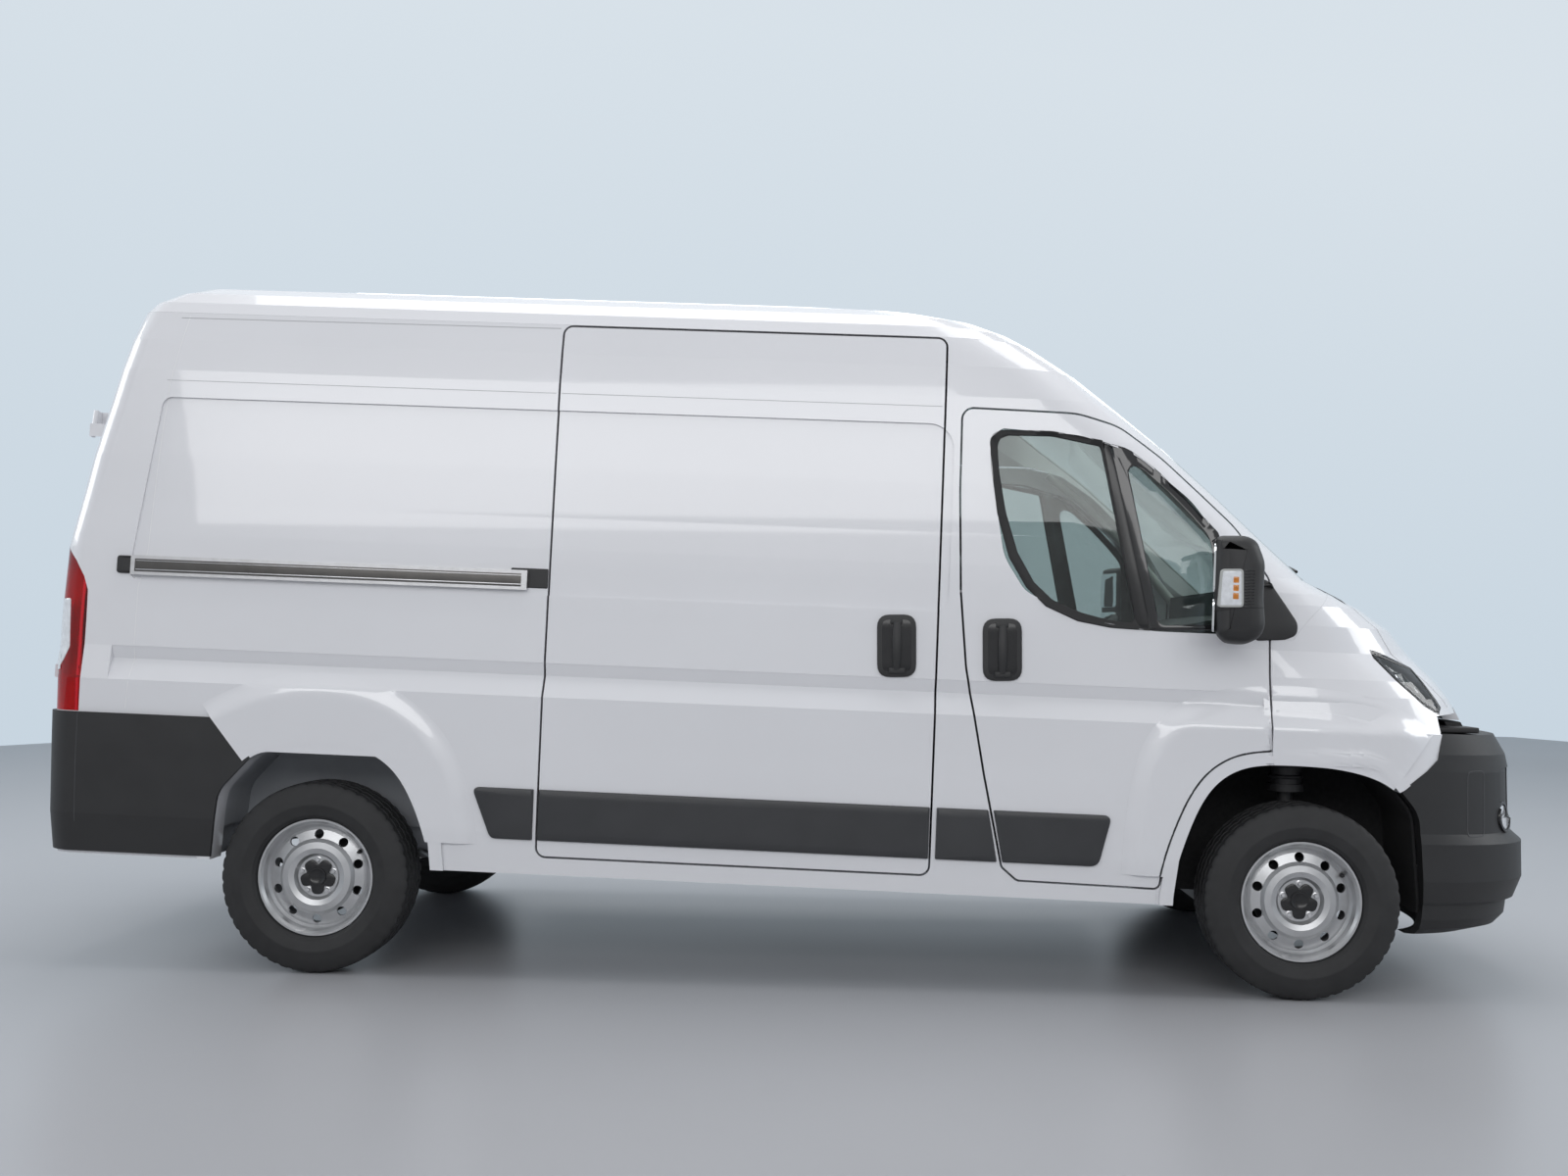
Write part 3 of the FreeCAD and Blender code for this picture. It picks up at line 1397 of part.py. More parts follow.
def make_rear_axle():
    """Beam axle with its hubs on two leaf springs."""
    disc_face = S.rim_width / 2 * WHEEL_SHARES[12][0]
    left = end_of_axle(rear_axle, rear_wheel_y, disc_face)
    inner_y = rear_wheel_y - S.hub_back
    beam = rod(
        Vector(rear_axle, -inner_y, S.hub_height), Vector(rear_axle, inner_y, S.hub_height), S.beam_radius
    )
    solid = beam.fuse(left).fuse(mirrored(left))
    pivot_front = rear_axle + S.spring_front
    pivot_rear = rear_axle - S.spring_rear
    under = S.hub_height - S.beam_radius - S.spring_plate
    points = (
        (pivot_rear, S.spring_eye_level),
        (rear_axle - S.spring_seat, under),
        (rear_axle + S.spring_seat, under),
        (pivot_front, S.spring_eye_level),
        (pivot_front, S.spring_eye_level + S.spring_plate),
        (rear_axle + S.spring_seat, under + S.spring_plate * 1.5),
        (rear_axle - S.spring_seat, under + S.spring_plate * 1.5),
        (pivot_rear, S.spring_eye_level + S.spring_plate),
    )
    face = Part.Face(side_wire(points))
    face.translate(Vector(0, S.spring_spread - S.spring_width / 2, 0))
    spring = face.extrude(Y_AXIS * S.spring_width)
    clamp = block(
        rear_axle - S.beam_radius * 1.3, rear_axle + S.beam_radius * 1.3,
        S.spring_spread - S.spring_width / 2, S.spring_spread + S.spring_width / 2,
        under - S.gap, S.hub_height + S.beam_radius + S.gap,
    )
    spring = spring.fuse(clamp)
    for x in (pivot_front, pivot_rear):
        eye = disc(
            x, S.spring_spread - S.spring_width / 2, S.spring_eye_level + S.spring_plate / 2, S.spring_plate,
            S.spring_width,
        )
        top = S.hub_height + S.rail_depth * 1.5
        hanger = block(
            x - S.spring_plate, x + S.spring_plate,
            S.rail_spread + S.rail_width / 2 + S.rest_gap, S.spring_spread - S.spring_width / 2,
            S.spring_eye_level, top,
        )
        spring = spring.fuse(eye).fuse(hanger)
    return solid.fuse(spring).fuse(mirrored(spring))


def make_tank():
    solid = block(
        along(0.605), along(0.415), S.rail_spread + S.rail_width / 2 + S.gap, S.tank_outer,
        S.sill_level - S.skin, S.floor_level - S.floor_plate - S.rest_gap,
    )
    return solid.makeFillet(S.skin, [edge for edge in solid.Edges if edge.BoundBox.XLength > S.skin])


def make_exhaust():
    level = S.floor_level - S.floor_plate - S.rail_depth - S.exhaust_pipe
    y = -S.rail_spread * 0.6
    front = Vector(along(0.06), y, level)
    rear = Vector(along(0.78), y, level)
    solid = rod(front, rear, S.exhaust_pipe)
    solid = solid.fuse(rod(Vector(along(0.45), y, level), Vector(along(0.62), y, level), S.muffler_radius))
    outlet = Vector(along(0.80), -S.cross_half, level)
    solid = solid.fuse(rod(rear, outlet, S.exhaust_pipe)).fuse(Part.makeSphere(S.exhaust_pipe, rear))
    for share in (0.15, 0.40, 0.62):
        x = along(share)
        top = S.floor_level - S.floor_plate - S.rail_depth * 0.6 - S.rest_gap
        solid = solid.fuse(block(x - S.gap, x + S.gap, y - S.gap, y + S.gap, level, top))
    return solid


def make_door_hinges(part):
    """Right rear door hinges: the door's leaves with the upper barrels, or the body's with the lower ones."""
    solid = None
    for level in (rise(share) for share in REAR_HINGE_SHARES):
        x = hinge_line_x(level)
        low, high = (level, level + S.hinge_height) if part == "door" else (level - S.hinge_height - S.hinge_play, level - S.hinge_play)
        foot_of_barrel = Vector(hinge_line_x(low), -S.rear_hinge, low)
        barrel = Part.makeCylinder(S.hinge_radius, high - low, foot_of_barrel, Vector(HINGE_LEAN_SHARE, 0, 1))
        if part == "door":
            y_far, y_near = S.rear_seam - S.hinge_radius * 3, S.rear_hinge
        else:
            y_far, y_near = S.tail_lamp_inner - S.lamp_gap - S.hinge_radius, S.rear_hinge
        foot_z, head_z = low + S.hinge_room, high - S.hinge_room
        plate = block(
            x - S.hinge_leaf / 2, x + S.hinge_leaf / 2, -max(y_far, y_near), -min(y_far, y_near), foot_z, head_z
        )
        foot_y = y_far if part == "door" else y_far - S.hinge_leaf
        foot = block(
            x - S.hinge_leaf / 2, x + S.rear_overhang * 0.15, -foot_y - S.hinge_leaf, -foot_y, foot_z, head_z
        ).cut(inner)
        foot = foot.cut(outer)
        leaf = barrel.fuse(plate).fuse(foot)
        solid = leaf if solid is None else solid.fuse(leaf)
    return solid


REAR_HINGE_SHARES = (0.315, 0.525, 0.735)
HINGE_LEAN_SHARE = 0.09


def hinge_line_x(level):
    """The straight hinge line of the rear doors, leaning forward like the door skin it stays behind."""
    return behind(S.hinge_share) + HINGE_LEAN_SHARE * (level - rise(REAR_HINGE_SHARES[1]))


# Every piece of the body is drawn level and then pitched with it.
right_left = (
    ("wing", make_wing),
    ("body_side", make_side),
    ("front_door", make_front_door),
    ("door_glass", make_door_glass),
    ("rear_door", make_rear_door),
    ("door_trim", make_door_trim),
)
for name, make in right_left:
    shape = make()
    left = mirrored(shape)
    if name == "body_side":
        shape = solids_of(shape.cut(slide_cut))
    add_part(f"{name}_right", shape, PITCH)
    add_part(f"{name}_left", left, PITCH)
for name, make in (
    ("roof_panel", make_roof),
    ("bonnet", make_bonnet),
    ("windscreen", make_windscreen),
    ("firewall", make_cowl),
    ("front_bumper", make_front_trim),
    ("headlamps", make_headlamps),
    ("tail_lamps", make_tail_lamps),
    ("rear_bumper", make_rear_bumper),
    ("sliding_door", make_sliding_door),
    ("slide_rail", make_slide_rail),
    ("side_mouldings", make_mouldings),
    ("floor", make_floor),
    ("arch_liners", make_liners),
    ("dashboard", make_dashboard),
    ("bulkhead", make_bulkhead),
    ("seats", make_seats),
    ("steering_wheel", make_steering_wheel),
    ("engine", make_engine),
    ("radiator", make_radiator),
    ("fuel_tank", make_tank),
    ("exhaust", make_exhaust),
):
    add_part(name, make(), PITCH)
knuckle = make_knuckle()
add_part("knuckle_left", knuckle)
add_part("knuckle_right", mirrored(knuckle))
add_part("front_subframe", make_subframe())
add_part("rear_axle", make_rear_axle())
for end, x, y in (("front", front_axle, front_wheel_y), ("rear", rear_axle, rear_wheel_y)):
    for hand, word, turn in ((LEFT, "left", 0), (RIGHT, "right", HALF)):
        place = Placement(Vector(x, hand * y, S.hub_height), Rotation(Z_AXIS, turn))
        make_wheel(f"wheel_{end}_{word}", place)
        make_tyre(f"tyre_{end}_{word}", place)

doc.recompute()
bad = []
for feature in doc.Objects:
    if "Invalid" in feature.State or "Error" in feature.State:
        bad.append(feature.Label)
for feature in sheet_nodes:
    shape = feature.Shape
    if shape.isNull() or not shape.isValid() or not shape.Solids:
        bad.append(feature.Label)
if bad:
    raise RuntimeError(f"not built: {bad}")
for feature in sheet_nodes:
    feature.Shape.exportStep(f"parts/{feature.Label}.step")
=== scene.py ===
import json
import math
import bmesh
import bpy
from mathutils import Matrix, Vector
from mathutils.bvhtree import BVHTree
from mathutils.geometry import tessellate_polygon


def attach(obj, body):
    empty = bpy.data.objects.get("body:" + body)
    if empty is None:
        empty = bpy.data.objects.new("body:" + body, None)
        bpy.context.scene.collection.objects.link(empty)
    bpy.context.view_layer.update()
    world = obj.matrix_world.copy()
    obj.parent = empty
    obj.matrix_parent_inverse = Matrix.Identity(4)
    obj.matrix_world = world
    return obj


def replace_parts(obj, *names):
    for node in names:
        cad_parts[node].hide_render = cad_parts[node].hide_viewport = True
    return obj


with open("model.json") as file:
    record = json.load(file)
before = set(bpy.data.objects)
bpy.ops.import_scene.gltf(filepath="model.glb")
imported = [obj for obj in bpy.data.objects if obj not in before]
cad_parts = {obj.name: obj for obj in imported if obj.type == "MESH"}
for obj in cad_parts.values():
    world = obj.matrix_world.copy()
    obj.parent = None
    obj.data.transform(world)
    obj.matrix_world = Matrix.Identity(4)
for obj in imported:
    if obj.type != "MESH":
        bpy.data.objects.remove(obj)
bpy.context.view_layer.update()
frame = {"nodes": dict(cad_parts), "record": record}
nodes = frame["nodes"]
scene = bpy.context.scene

# Lengths are in metres. The body leans forward a little about the front axle. Its outlines are given as
# (x, z) of the body's own upright frame, and placed in the row frame.
AXLE_X, AXLE_Z = 1.7585, 0.337
REAR_AXLE_X = -1.6915
AXLES = {"front": (AXLE_X, AXLE_Z), "rear": (REAR_AXLE_X, AXLE_Z)}
RAKE = math.radians(1.33)
SIDE_WORD = {-1: "right", 1: "left"}
HALF_WIDTH, HALF_LENGTH = 0.98, 2.65
# Where rays start: beside the body, beyond its ends, above it, and inside the load space.
BESIDE, BEYOND, ABOVE, INSIDE = 1.5, 3.5, 3.0, 1.5


def place(x, z):
    c, s = math.cos(RAKE), math.sin(RAKE)
    dx, dz = x - AXLE_X, z - AXLE_Z
    return AXLE_X + c * dx + s * dz, AXLE_Z - s * dx + c * dz


def placed(x, y, z):
    """A point of the body's own frame in the row frame."""
    wx, wz = place(x, z)
    return Vector((wx, y, wz))


# Materials. Numbers that are the same all over are on the shader's own sockets.
GRAIN_DISTANCE = 0.0004


def put(node, values):
    for name, value in values.items():
        node.inputs[name].default_value = value


def start_material(name):
    """A new material, its shader, and the functions that add nodes to it and join them."""
    mat = bpy.data.materials.new(name)
    mat.use_nodes = True
    tree = mat.node_tree

    def add(kind, values=None):
        node = tree.nodes.new("ShaderNode" + kind)
        put(node, values or {})
        return node

    def join(source, out, target, into):
        tree.links.new(source.outputs[out], target.inputs[into])

    return mat, tree.nodes["Principled BSDF"], add, join


def show_mix(mat, add, join, share, out, first, second):
    """Shows a mix of two shaders, the second by a share."""
    mix = add("MixShader")
    join(share, out, mix, "Fac")
    join(first, 0, mix, 1)
    join(second, 0, mix, 2)
    join(mix, 0, mat.node_tree.nodes["Material Output"], "Surface")
    return mat


def look(name, colour, rough, cloud, metal=0.0, coat=0.0, rough_spread=0.04, grain=None, sheen=0.0):
    """A colour and roughness with a cloud of (spread, scale), and a grain of (strength, scale, distance)."""
    mat, shader, add, join = start_material(name)
    put(shader, {"Metallic": metal, "Coat Weight": coat, "Coat Roughness": 0.03, "Sheen Weight": sheen})
    where = add("TexCoord")
    spread, scale = cloud
    noise = add("TexNoise", {"Scale": scale, "Detail": 4.0})
    join(where, "Object", noise, "Vector")
    ramp = add("ValToRGB")
    for element, position, share in zip(ramp.color_ramp.elements, (0.3, 0.7), (1 - spread, 1 + spread)):
        element.color = (*[min(1.0, c * share) for c in colour], 1)
        element.position = position
    join(noise, "Fac", ramp, "Fac")
    join(ramp, "Color", shader, "Base Color")
    span = add("MapRange", {"To Min": max(0.0, rough - rough_spread), "To Max": rough + rough_spread})
    join(noise, "Fac", span, "Value")
    join(span, "Result", shader, "Roughness")
    if grain:
        strength, fineness, distance = (*grain, GRAIN_DISTANCE)[:3]
        fine = add("TexNoise", {"Scale": fineness, "Detail": 2.0})
        join(where, "Object", fine, "Vector")
        bump = add("Bump", {"Strength": strength, "Distance": distance})
        join(fine, "Fac", bump, "Height")
        join(bump, "Normal", shader, "Normal")
    return mat


def glass_material(name, tint):
    """Tinted glass that lets tinted light through where it would cast a shadow."""
    mat, shader, add, join = start_material(name)
    colour = (*tint, 1)
    put(shader, {"Base Color": colour, "Transmission Weight": 1.0, "Roughness": 0.0, "IOR": 1.48})
    clear = add("BsdfTransparent", {"Color": colour})
    return show_mix(mat, add, join, add("LightPath"), "Is Shadow Ray", shader, clear)


paint = look("white_paint", (0.735, 0.738, 0.765), 0.22, (0.012, 1.5), coat=1.0, rough_spread=0.02,
             grain=(0.05, 420, 0.0002))
black = look("grained_black_plastic", (0.019, 0.019, 0.020), 0.52, (0.12, 8), grain=(0.5, 900, 0.0005))
gloss_black = look("smooth_black_plastic", (0.012, 0.012, 0.013), 0.22, (0.1, 10), grain=(0.05, 500))
seal_rubber = look("seal_rubber", (0.011, 0.011, 0.012), 0.6, (0.15, 20), grain=(0.25, 700))
grey_plastic = look("grey_interior_plastic", (0.10, 0.102, 0.108), 0.62, (0.08, 10),
                    grain=(0.5, 1100, 0.0004))
pale_trim = look("pale_interior_trim", (0.42, 0.43, 0.42), 0.7, (0.05, 9), grain=(0.08, 300, 0.0002))
tyre_rubber = look("tyre_rubber", (0.020, 0.020, 0.021), 0.68, (0.2, 14), grain=(0.35, 500, 0.0005))
wheel_silver = look("silver_wheel_paint", (0.50, 0.505, 0.515), 0.34, (0.05, 24), metal=0.75,
                    grain=(0.12, 1500, 0.0002))
steel = look("bare_steel", (0.30, 0.30, 0.31), 0.38, (0.18, 18), metal=0.9, grain=(0.2, 300))
dark_steel = look("black_painted_steel", (0.028, 0.028, 0.030), 0.5, (0.25, 12), metal=0.2, grain=(0.3, 260))
zinc = look("zinc_fastener", (0.62, 0.62, 0.63), 0.3, (0.1, 40), metal=1.0, grain=(0.1, 900))
rail_alloy = look("brushed_alloy", (0.60, 0.60, 0.61), 0.3, (0.06, 30), metal=0.95,
                  grain=(0.15, 1200, 0.0002))
fabric = look("woven_seat_fabric", (0.045, 0.047, 0.052), 0.9, (0.3, 300), rough_spread=0.05,
              grain=(0.8, 1600, 0.0008), sheen=0.3)
rubber_mat = look("load_floor_lining", (0.19, 0.19, 0.195), 0.7, (0.1, 20), grain=(0.5, 500, 0.0006))
engine_alloy = look("cast_alloy", (0.26, 0.26, 0.27), 0.5, (0.2, 20), metal=0.7, grain=(0.6, 220, 0.001))
tank_plastic = look("tank_plastic", (0.016, 0.016, 0.017), 0.5, (0.15, 9), grain=(0.3, 300))
# Grey for the underbody and the wheel-houses: painted shade over the white body there.
underbody_shade_grey = look("underbody_painted_shade", (0.33, 0.345, 0.37), 0.55, (0.1, 6), grain=(0.35, 240, 0.0006))
liner_black = look("arch_liner_felt", (0.016, 0.016, 0.017), 0.9, (0.3, 60), grain=(0.9, 500, 0.002))
window_glass = glass_material("window_glass", (0.55, 0.61, 0.59))
lens_clear = glass_material("clear_lens", (0.93, 0.95, 0.97))
lens_red = glass_material("red_lens", (0.72, 0.012, 0.022))
chrome = look("reflector", (0.85, 0.86, 0.87), 0.08, (0.03, 20), metal=1.0, grain=(0.05, 300))

looks = {
    "paint": paint, "glass": window_glass, "trim": black, "lamp": lens_clear, "lamp_red": lens_red,
    "rail": rail_alloy, "floor": underbody_shade_grey, "chassis": dark_steel, "liner": liner_black,
    "interior": grey_plastic, "fabric": fabric, "engine": engine_alloy, "tank": tank_plastic,
    "exhaust": steel, "running_gear": dark_steel, "wheel_steel": wheel_silver, "tyre": tyre_rubber,
}
slot_of = {entry["node"]: entry["material_slot"] for entry in frame["record"]["subparts"]}
for name, obj in nodes.items():
    obj.data.materials.clear()
    obj.data.materials.append(looks.get(slot_of.get(name), paint))
    for polygon in obj.data.polygons:
        polygon.material_index = 0


# Pieces, and the surfaces of the CAD solids that they lie on.
def new_piece(name, verts, faces, mat, body, smooth=True, sharp=40):
    mesh = bpy.data.meshes.new(name)
    mesh.from_pydata([tuple(v) for v in verts], [], [tuple(f) for f in faces])
    mesh.validate()
    bm = bmesh.new()
    bm.from_mesh(mesh)
    bmesh.ops.remove_doubles(bm, verts=bm.verts, dist=1e-6)
    bmesh.ops.recalc_face_normals(bm, faces=bm.faces)
    bm.to_mesh(mesh)
    bm.free()
    mesh.materials.append(mat)
    if smooth:
        mesh.polygons.foreach_set("use_smooth", [True] * len(mesh.polygons))
        mesh.set_sharp_from_angle(angle=math.radians(sharp))
    obj = bpy.data.objects.new(name, mesh)
    scene.collection.objects.link(obj)
    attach(obj, body)
    return obj


def joined(name, parts, mat, body="root", sharp=40):
    """One piece of several (verts, faces) parts."""
    verts, faces = [], []
    for part_verts, part_faces in parts:
        base = len(verts)
        verts += part_verts
        faces += [tuple(base + i for i in face) for face in part_faces]
    return new_piece(name, verts, faces, mat, body, sharp=sharp)


def tree_of(*objects):
    """The surface of one or more objects, to cast rays on."""
    verts, faces = [], []
    for obj in objects:
        base = len(verts)
        verts += [v.co.copy() for v in obj.data.vertices]
        faces += [[base + i for i in p.vertices] for p in obj.data.polygons]
    return BVHTree.FromPolygons(verts, faces)


side_tree = {}
for hand, word in SIDE_WORD.items():
    names = [f"wing_{word}", f"body_side_{word}", f"front_door_{word}", f"door_glass_{word}",
             "front_bumper", "rear_bumper", "headlamps", "tail_lamps", "roof_panel", "bonnet"]
    if hand == -1:
        names.append("sliding_door")
    side_tree[hand] = tree_of(*[nodes[name] for name in names])
end_names = ("rear_door_right", "rear_door_left", "rear_bumper", "tail_lamps", "front_bumper", "bonnet",
             "headlamps", "body_side_right", "body_side_left", "roof_panel", "windscreen", "wing_right",
             "wing_left")
end_tree = tree_of(*[nodes[name] for name in end_names])


def lifted_hit(tree, start, way, missed, lift):
    """Where a ray first meets a tree, lifted towards the ray's side along the normal."""
    hit, normal, _, _ = tree.ray_cast(start, way)
    if hit is None:
        hit, normal = missed, -way
    if normal.dot(way) > 0:
        normal = -normal
    return hit + normal * lift


def skin(hand, x, z, lift=0.0):
    """The outside of the body at (x, z) on one side."""
    return lifted_hit(side_tree[hand], placed(x, hand * BESIDE, z), Vector((0, -hand, 0)),
                      placed(x, hand * HALF_WIDTH, z), lift)


def end_skin(sign, y, z, lift=0.0):
    """The outside of the rear (sign -1) or front (+1) at (y, z of the row frame)."""
    return lifted_hit(end_tree, Vector((sign * BEYOND, y, z)), Vector((-sign, 0, 0)),
                      Vector((sign * HALF_LENGTH, y, z)), lift)


def on_side(hand):
    return lambda x, z, lift: skin(hand, x, z, lift)


def on_end(sign):
    return lambda y, z, lift: end_skin(sign, y, z, lift)


def skin_out(hand, x, z, out):
    """A point straight out from the skin, away from the car's middle."""
    return skin(hand, x, z) + Vector((0, hand * out, 0))


def reach_of(tree, hand, wx, wz, missed):
    """How far from the car's middle a tree's outside lies, at (x, z) of the row frame."""
    hit, _, _, _ = tree.ray_cast(Vector((wx, hand * BESIDE, wz)), Vector((0, -hand, 0)))
    return missed if hit is None else hit.y * hand


# 2-D outlines. The body's named ones are written in whole millimetres of its own frame.
def metres(*points):
    return [(x / 1000, z / 1000) for x, z in points]


def between(p, q, t):
    return p[0] + (q[0] - p[0]) * t, p[1] + (q[1] - p[1]) * t


def box(x0, z0, x1, z1):
    return [(x0, z0), (x1, z0), (x1, z1), (x0, z1)]


def shares(count):
    return [k / count for k in range(count + 1)]


def turns(count):
    return [2 * math.pi * k / count for k in range(count)]


def around(radius, angle, centre=(0.0, 0.0)):
    return centre[0] + math.cos(angle) * radius, centre[1] + math.sin(angle) * radius


def circle(centre, radius):
    return [around(radius, a, centre) for a in turns(40)]


def rounded(points, radius, steps=5):
    """A closed outline with its corners rounded, by one radius or by a list of them."""
    made = []
    radii = radius if isinstance(radius, list) else [radius] * len(points)
    for i, p in enumerate(points):
        corner = Vector(p)
        a = Vector(points[i - 1]) - corner
        b = Vector(points[(i + 1) % len(points)]) - corner
        r = min(radii[i], a.length * 0.45, b.length * 0.45)
        start, end = corner + a.normalized() * r, corner + b.normalized() * r
        for t in shares(steps):
            q = start * (1 - t) ** 2 + corner * (2 * t * (1 - t)) + end * t ** 2
            made.append((q.x, q.y))
    return made


def dense(points, step=0.02):
    """A closed outline with points along its straight parts, about a step apart."""
    made = []
    for i, p in enumerate(points):
        q = points[(i + 1) % len(points)]
        parts = max(1, round(math.dist(p, q) / step))
        made += [between(p, q, k / parts) for k in range(parts)]
    return made


def soft(points, radius, step=0.02):
    return dense(rounded(points, radius), step)


def inset(points, amount):
    """The outline moved inwards by amount along its corner bisectors."""
    points = list(points)
    after = points[1:] + points[:1]
    turn = 1 if sum(p[0] * q[1] - q[0] * p[1] for p, q in zip(points, after)) > 0 else -1
    made = []
    for before, p, q in zip(points[-1:] + points, points, after):
        a = Vector(p) - Vector(before)
        b = Vector(q) - Vector(p)
        if a.length < 1e-9 or b.length < 1e-9:
            made.append(tuple(p))
            continue
        a.normalize()
        b.normalize()
        n = Vector((-a.y - b.y, a.x + b.x))
        if n.length < 1e-6:
            made.append(tuple(p))
            continue
        n.normalize()
        cosine = max(0.5, n.dot(Vector((-a.y, a.x))))
        made.append(tuple(Vector(p) + n * (turn * amount / cosine)))
    return made


def fill(outline):
    """Triangles that fill a closed outline."""
    return [tuple(t) for t in tessellate_polygon([[Vector((u, v, 0)) for u, v in outline]])]


def distance_at(points, centre, way, slack):
    """The greatest distance from a centre to a line of points in one direction, or None."""
    best = None
    for i in range(len(points) - 1):
        p, q = Vector(points[i]), Vector(points[i + 1])
        e = q - p
        det = way.x * -e.y + way.y * e.x
        if abs(det) < 1e-12:
            continue
        w = p - Vector(centre)
        t = (w.x * -e.y + w.y * e.x) / det
        s = (way.x * w.y - way.y * w.x) / det
        if t > 0 and -slack <= s <= 1 + slack and (best is None or t > best):
            best = t
    return best


def at_angles(outline, centre, count):
    """Points of a closed outline at even angles about a centre that sees all of it."""
    made = []
    for a in turns(count):
        way = Vector(around(1, a))
        far = distance_at([*outline, outline[0]], centre, way, 1e-9)
        made.append((centre[0] + way.x * far, centre[1] + way.y * far))
    return made


# Forms, each as (verts, faces).
def grid(rows, columns, wrap_rows=False, wrap_columns=True):
    """Four-sided faces between points that are counted row by row."""
    faces = []
    for k in range(rows if wrap_rows else rows - 1):
        m = (k + 1) % rows
        for i in range(columns if wrap_columns else columns - 1):
            j = (i + 1) % columns
            faces.append((k * columns + i, k * columns + j, m * columns + j, m * columns + i))
    return faces


def pad(outline, surface, height, edge=0.004, sunk=0.004, inner_rings=()):
    """A raised closed pad on a surface; surface(u, v, lift) gives a point."""
    levels = [(0.0, -sunk), (0.0, height - edge), (edge * 0.3, height - edge * 0.3), (edge, height)]
    levels += [(edge + d, height) for d in inner_rings]
    loops = [inset(outline, d) for d, _ in levels]
    verts = [surface(u, v, lift) for loop, (_, lift) in zip(loops, levels) for u, v in loop]
    top = (len(levels) - 1) * len(outline)
    faces = grid(len(levels), len(outline))
    faces += [tuple(top + i for i in tri) for tri in fill(loops[-1])]
    faces += [tuple(reversed(tri)) for tri in fill(outline)]
    return verts, faces


def ring(outer, inner, centre, surface, height, sunk=0.003, count=160):
    """A raised band between two outlines on a surface."""
    pairs = list(zip(at_angles(outer, centre, count), at_angles(inner, centre, count)))
    section = ((0, -sunk), (0, height * 0.6), (0.12, height), (0.88, height), (1, height * 0.5), (1, -sunk))
    verts = [surface(*between(p, q, share), lift) for share, lift in section for p, q in pairs]
    return verts, grid(len(section), count, wrap_rows=True)


def tube(points, radius, sides=8, flat=1.0, across=(0, 0, 1)):
    """A round or flattened bar along points, with closed ends."""
    last = len(points) - 1
    radii = radius if isinstance(radius, list) else [radius] * len(points)
    verts = []
    for i, p in enumerate(points):
        along = (points[min(last, i + 1)] - points[max(0, i - 1)]).normalized()
        side = along.cross(Vector(across))
        if side.length < 1e-3:
            side = along.cross(Vector((0, 1, 0)))
        side.normalize()
        over = side.cross(along).normalized()
        for a in turns(sides):
            verts.append(p + side * (math.cos(a) * radii[i]) + over * (math.sin(a) * radii[i] * flat))
    faces = grid(len(points), sides)
    faces.append(tuple(range(sides)))
    faces.append(tuple(last * sides + k for k in reversed(range(sides))))
    return verts, faces


def lathe(profile, centre, hand, count):
    """A profile of (radius, distance outwards) turned about a line across the car."""
    axis = Vector((0, hand, 0))
    first = axis.orthogonal().normalized()
    second = axis.cross(first)
    verts = []
    for a in turns(count):
        outwards = first * math.cos(a) + second * math.sin(a)
        verts += [centre + axis * h + outwards * r for r, h in profile]
    return verts, grid(count, len(profile), wrap_rows=True, wrap_columns=False)


def form_of(bm, moved):
    """The verts, each moved by a function, and the faces of a mesh that is done with."""
    bm.verts.index_update()
    verts = [moved(v.co.copy()) for v in bm.verts]
    faces = [tuple(v.index for v in f.verts) for f in bm.faces]
    bm.free()
    return verts, faces


def soft_box(centre, size, radius):
    """A box with rounded edges."""
    bm = bmesh.new()
    bmesh.ops.create_cube(bm, size=1.0)
    bmesh.ops.scale(bm, verts=bm.verts, vec=Vector(size))
    bmesh.ops.bevel(bm, geom=bm.edges[:], offset=radius, segments=3, profile=0.5, affect="EDGES")
    return form_of(bm, lambda co: co + Vector(centre))


def bead(hand, path, width, lift):
    """A thin band along a side-view path, laid on the skin."""
    step, sunk = 0.02, -0.001
    made = []
    for i in range(len(path) - 1):
        parts = max(1, round(math.dist(path[i], path[i + 1]) / step))
        made += [between(path[i], path[i + 1], k / parts) for k in range(parts)]
    made.append(path[-1])
    verts = []
    for i, (x, z) in enumerate(made):
        a = Vector(made[max(0, i - 1)])
        b = Vector(made[min(len(made) - 1, i + 1)])
        n = (b - a).normalized().orthogonal() * (width / 2)
        for s, up in ((-1, sunk), (-0.6, lift), (0.6, lift), (1, sunk)):
            verts.append(skin(hand, x + n.x * s, z + n.y * s, up))
    return verts, grid(len(made), 4, wrap_columns=False)


def smooth_step(t):
    t = min(1.0, max(0.0, t))
    return t * t * (3 - 2 * t)


def look_up(table, at):
    """The value at a place between the entries of a table."""
    at = min(max(at, 0), len(table) - 1.001)
    i = int(at)
    return table[i] + (table[i + 1] - table[i]) * (at - i)


# Pressed skins over the wheels: the openings' smooth edges and the soft flare up to its ridge.
gap_shadow = look("gap_shadow", (0.030, 0.031, 0.034), 0.8, (0.1, 20))
REAR_RIDGE = metres(
    (-2360, 360), (-2300, 520), (-2200, 680), (-2090, 785), (-1981, 845), (-1843, 893), (-1678, 911),
    (-1523, 893), (-1393, 829), (-1285, 721), (-1228, 598), (-1196, 450), (-1180, 300))
FRONT_RIDGE = metres(
    (1215, 300), (1215, 500), (1221, 618), (1233, 764), (1255, 847), (1310, 907), (1389, 960), (1501, 989),
    (1638, 1003), (1743, 999), (1856, 991), (1985, 974), (2099, 925), (2197, 856), (2300, 700), (2340, 400))
FRONT_OPENING = metres(
    (1304, 304), (1320, 439), (1353, 544), (1390, 649), (1438, 734), (1509, 789), (1590, 805), (1693, 807),
    (1846, 804), (1947, 787), (2020, 765), (2071, 741), (2134, 662), (2168, 561), (2186, 439), (2190, 291))
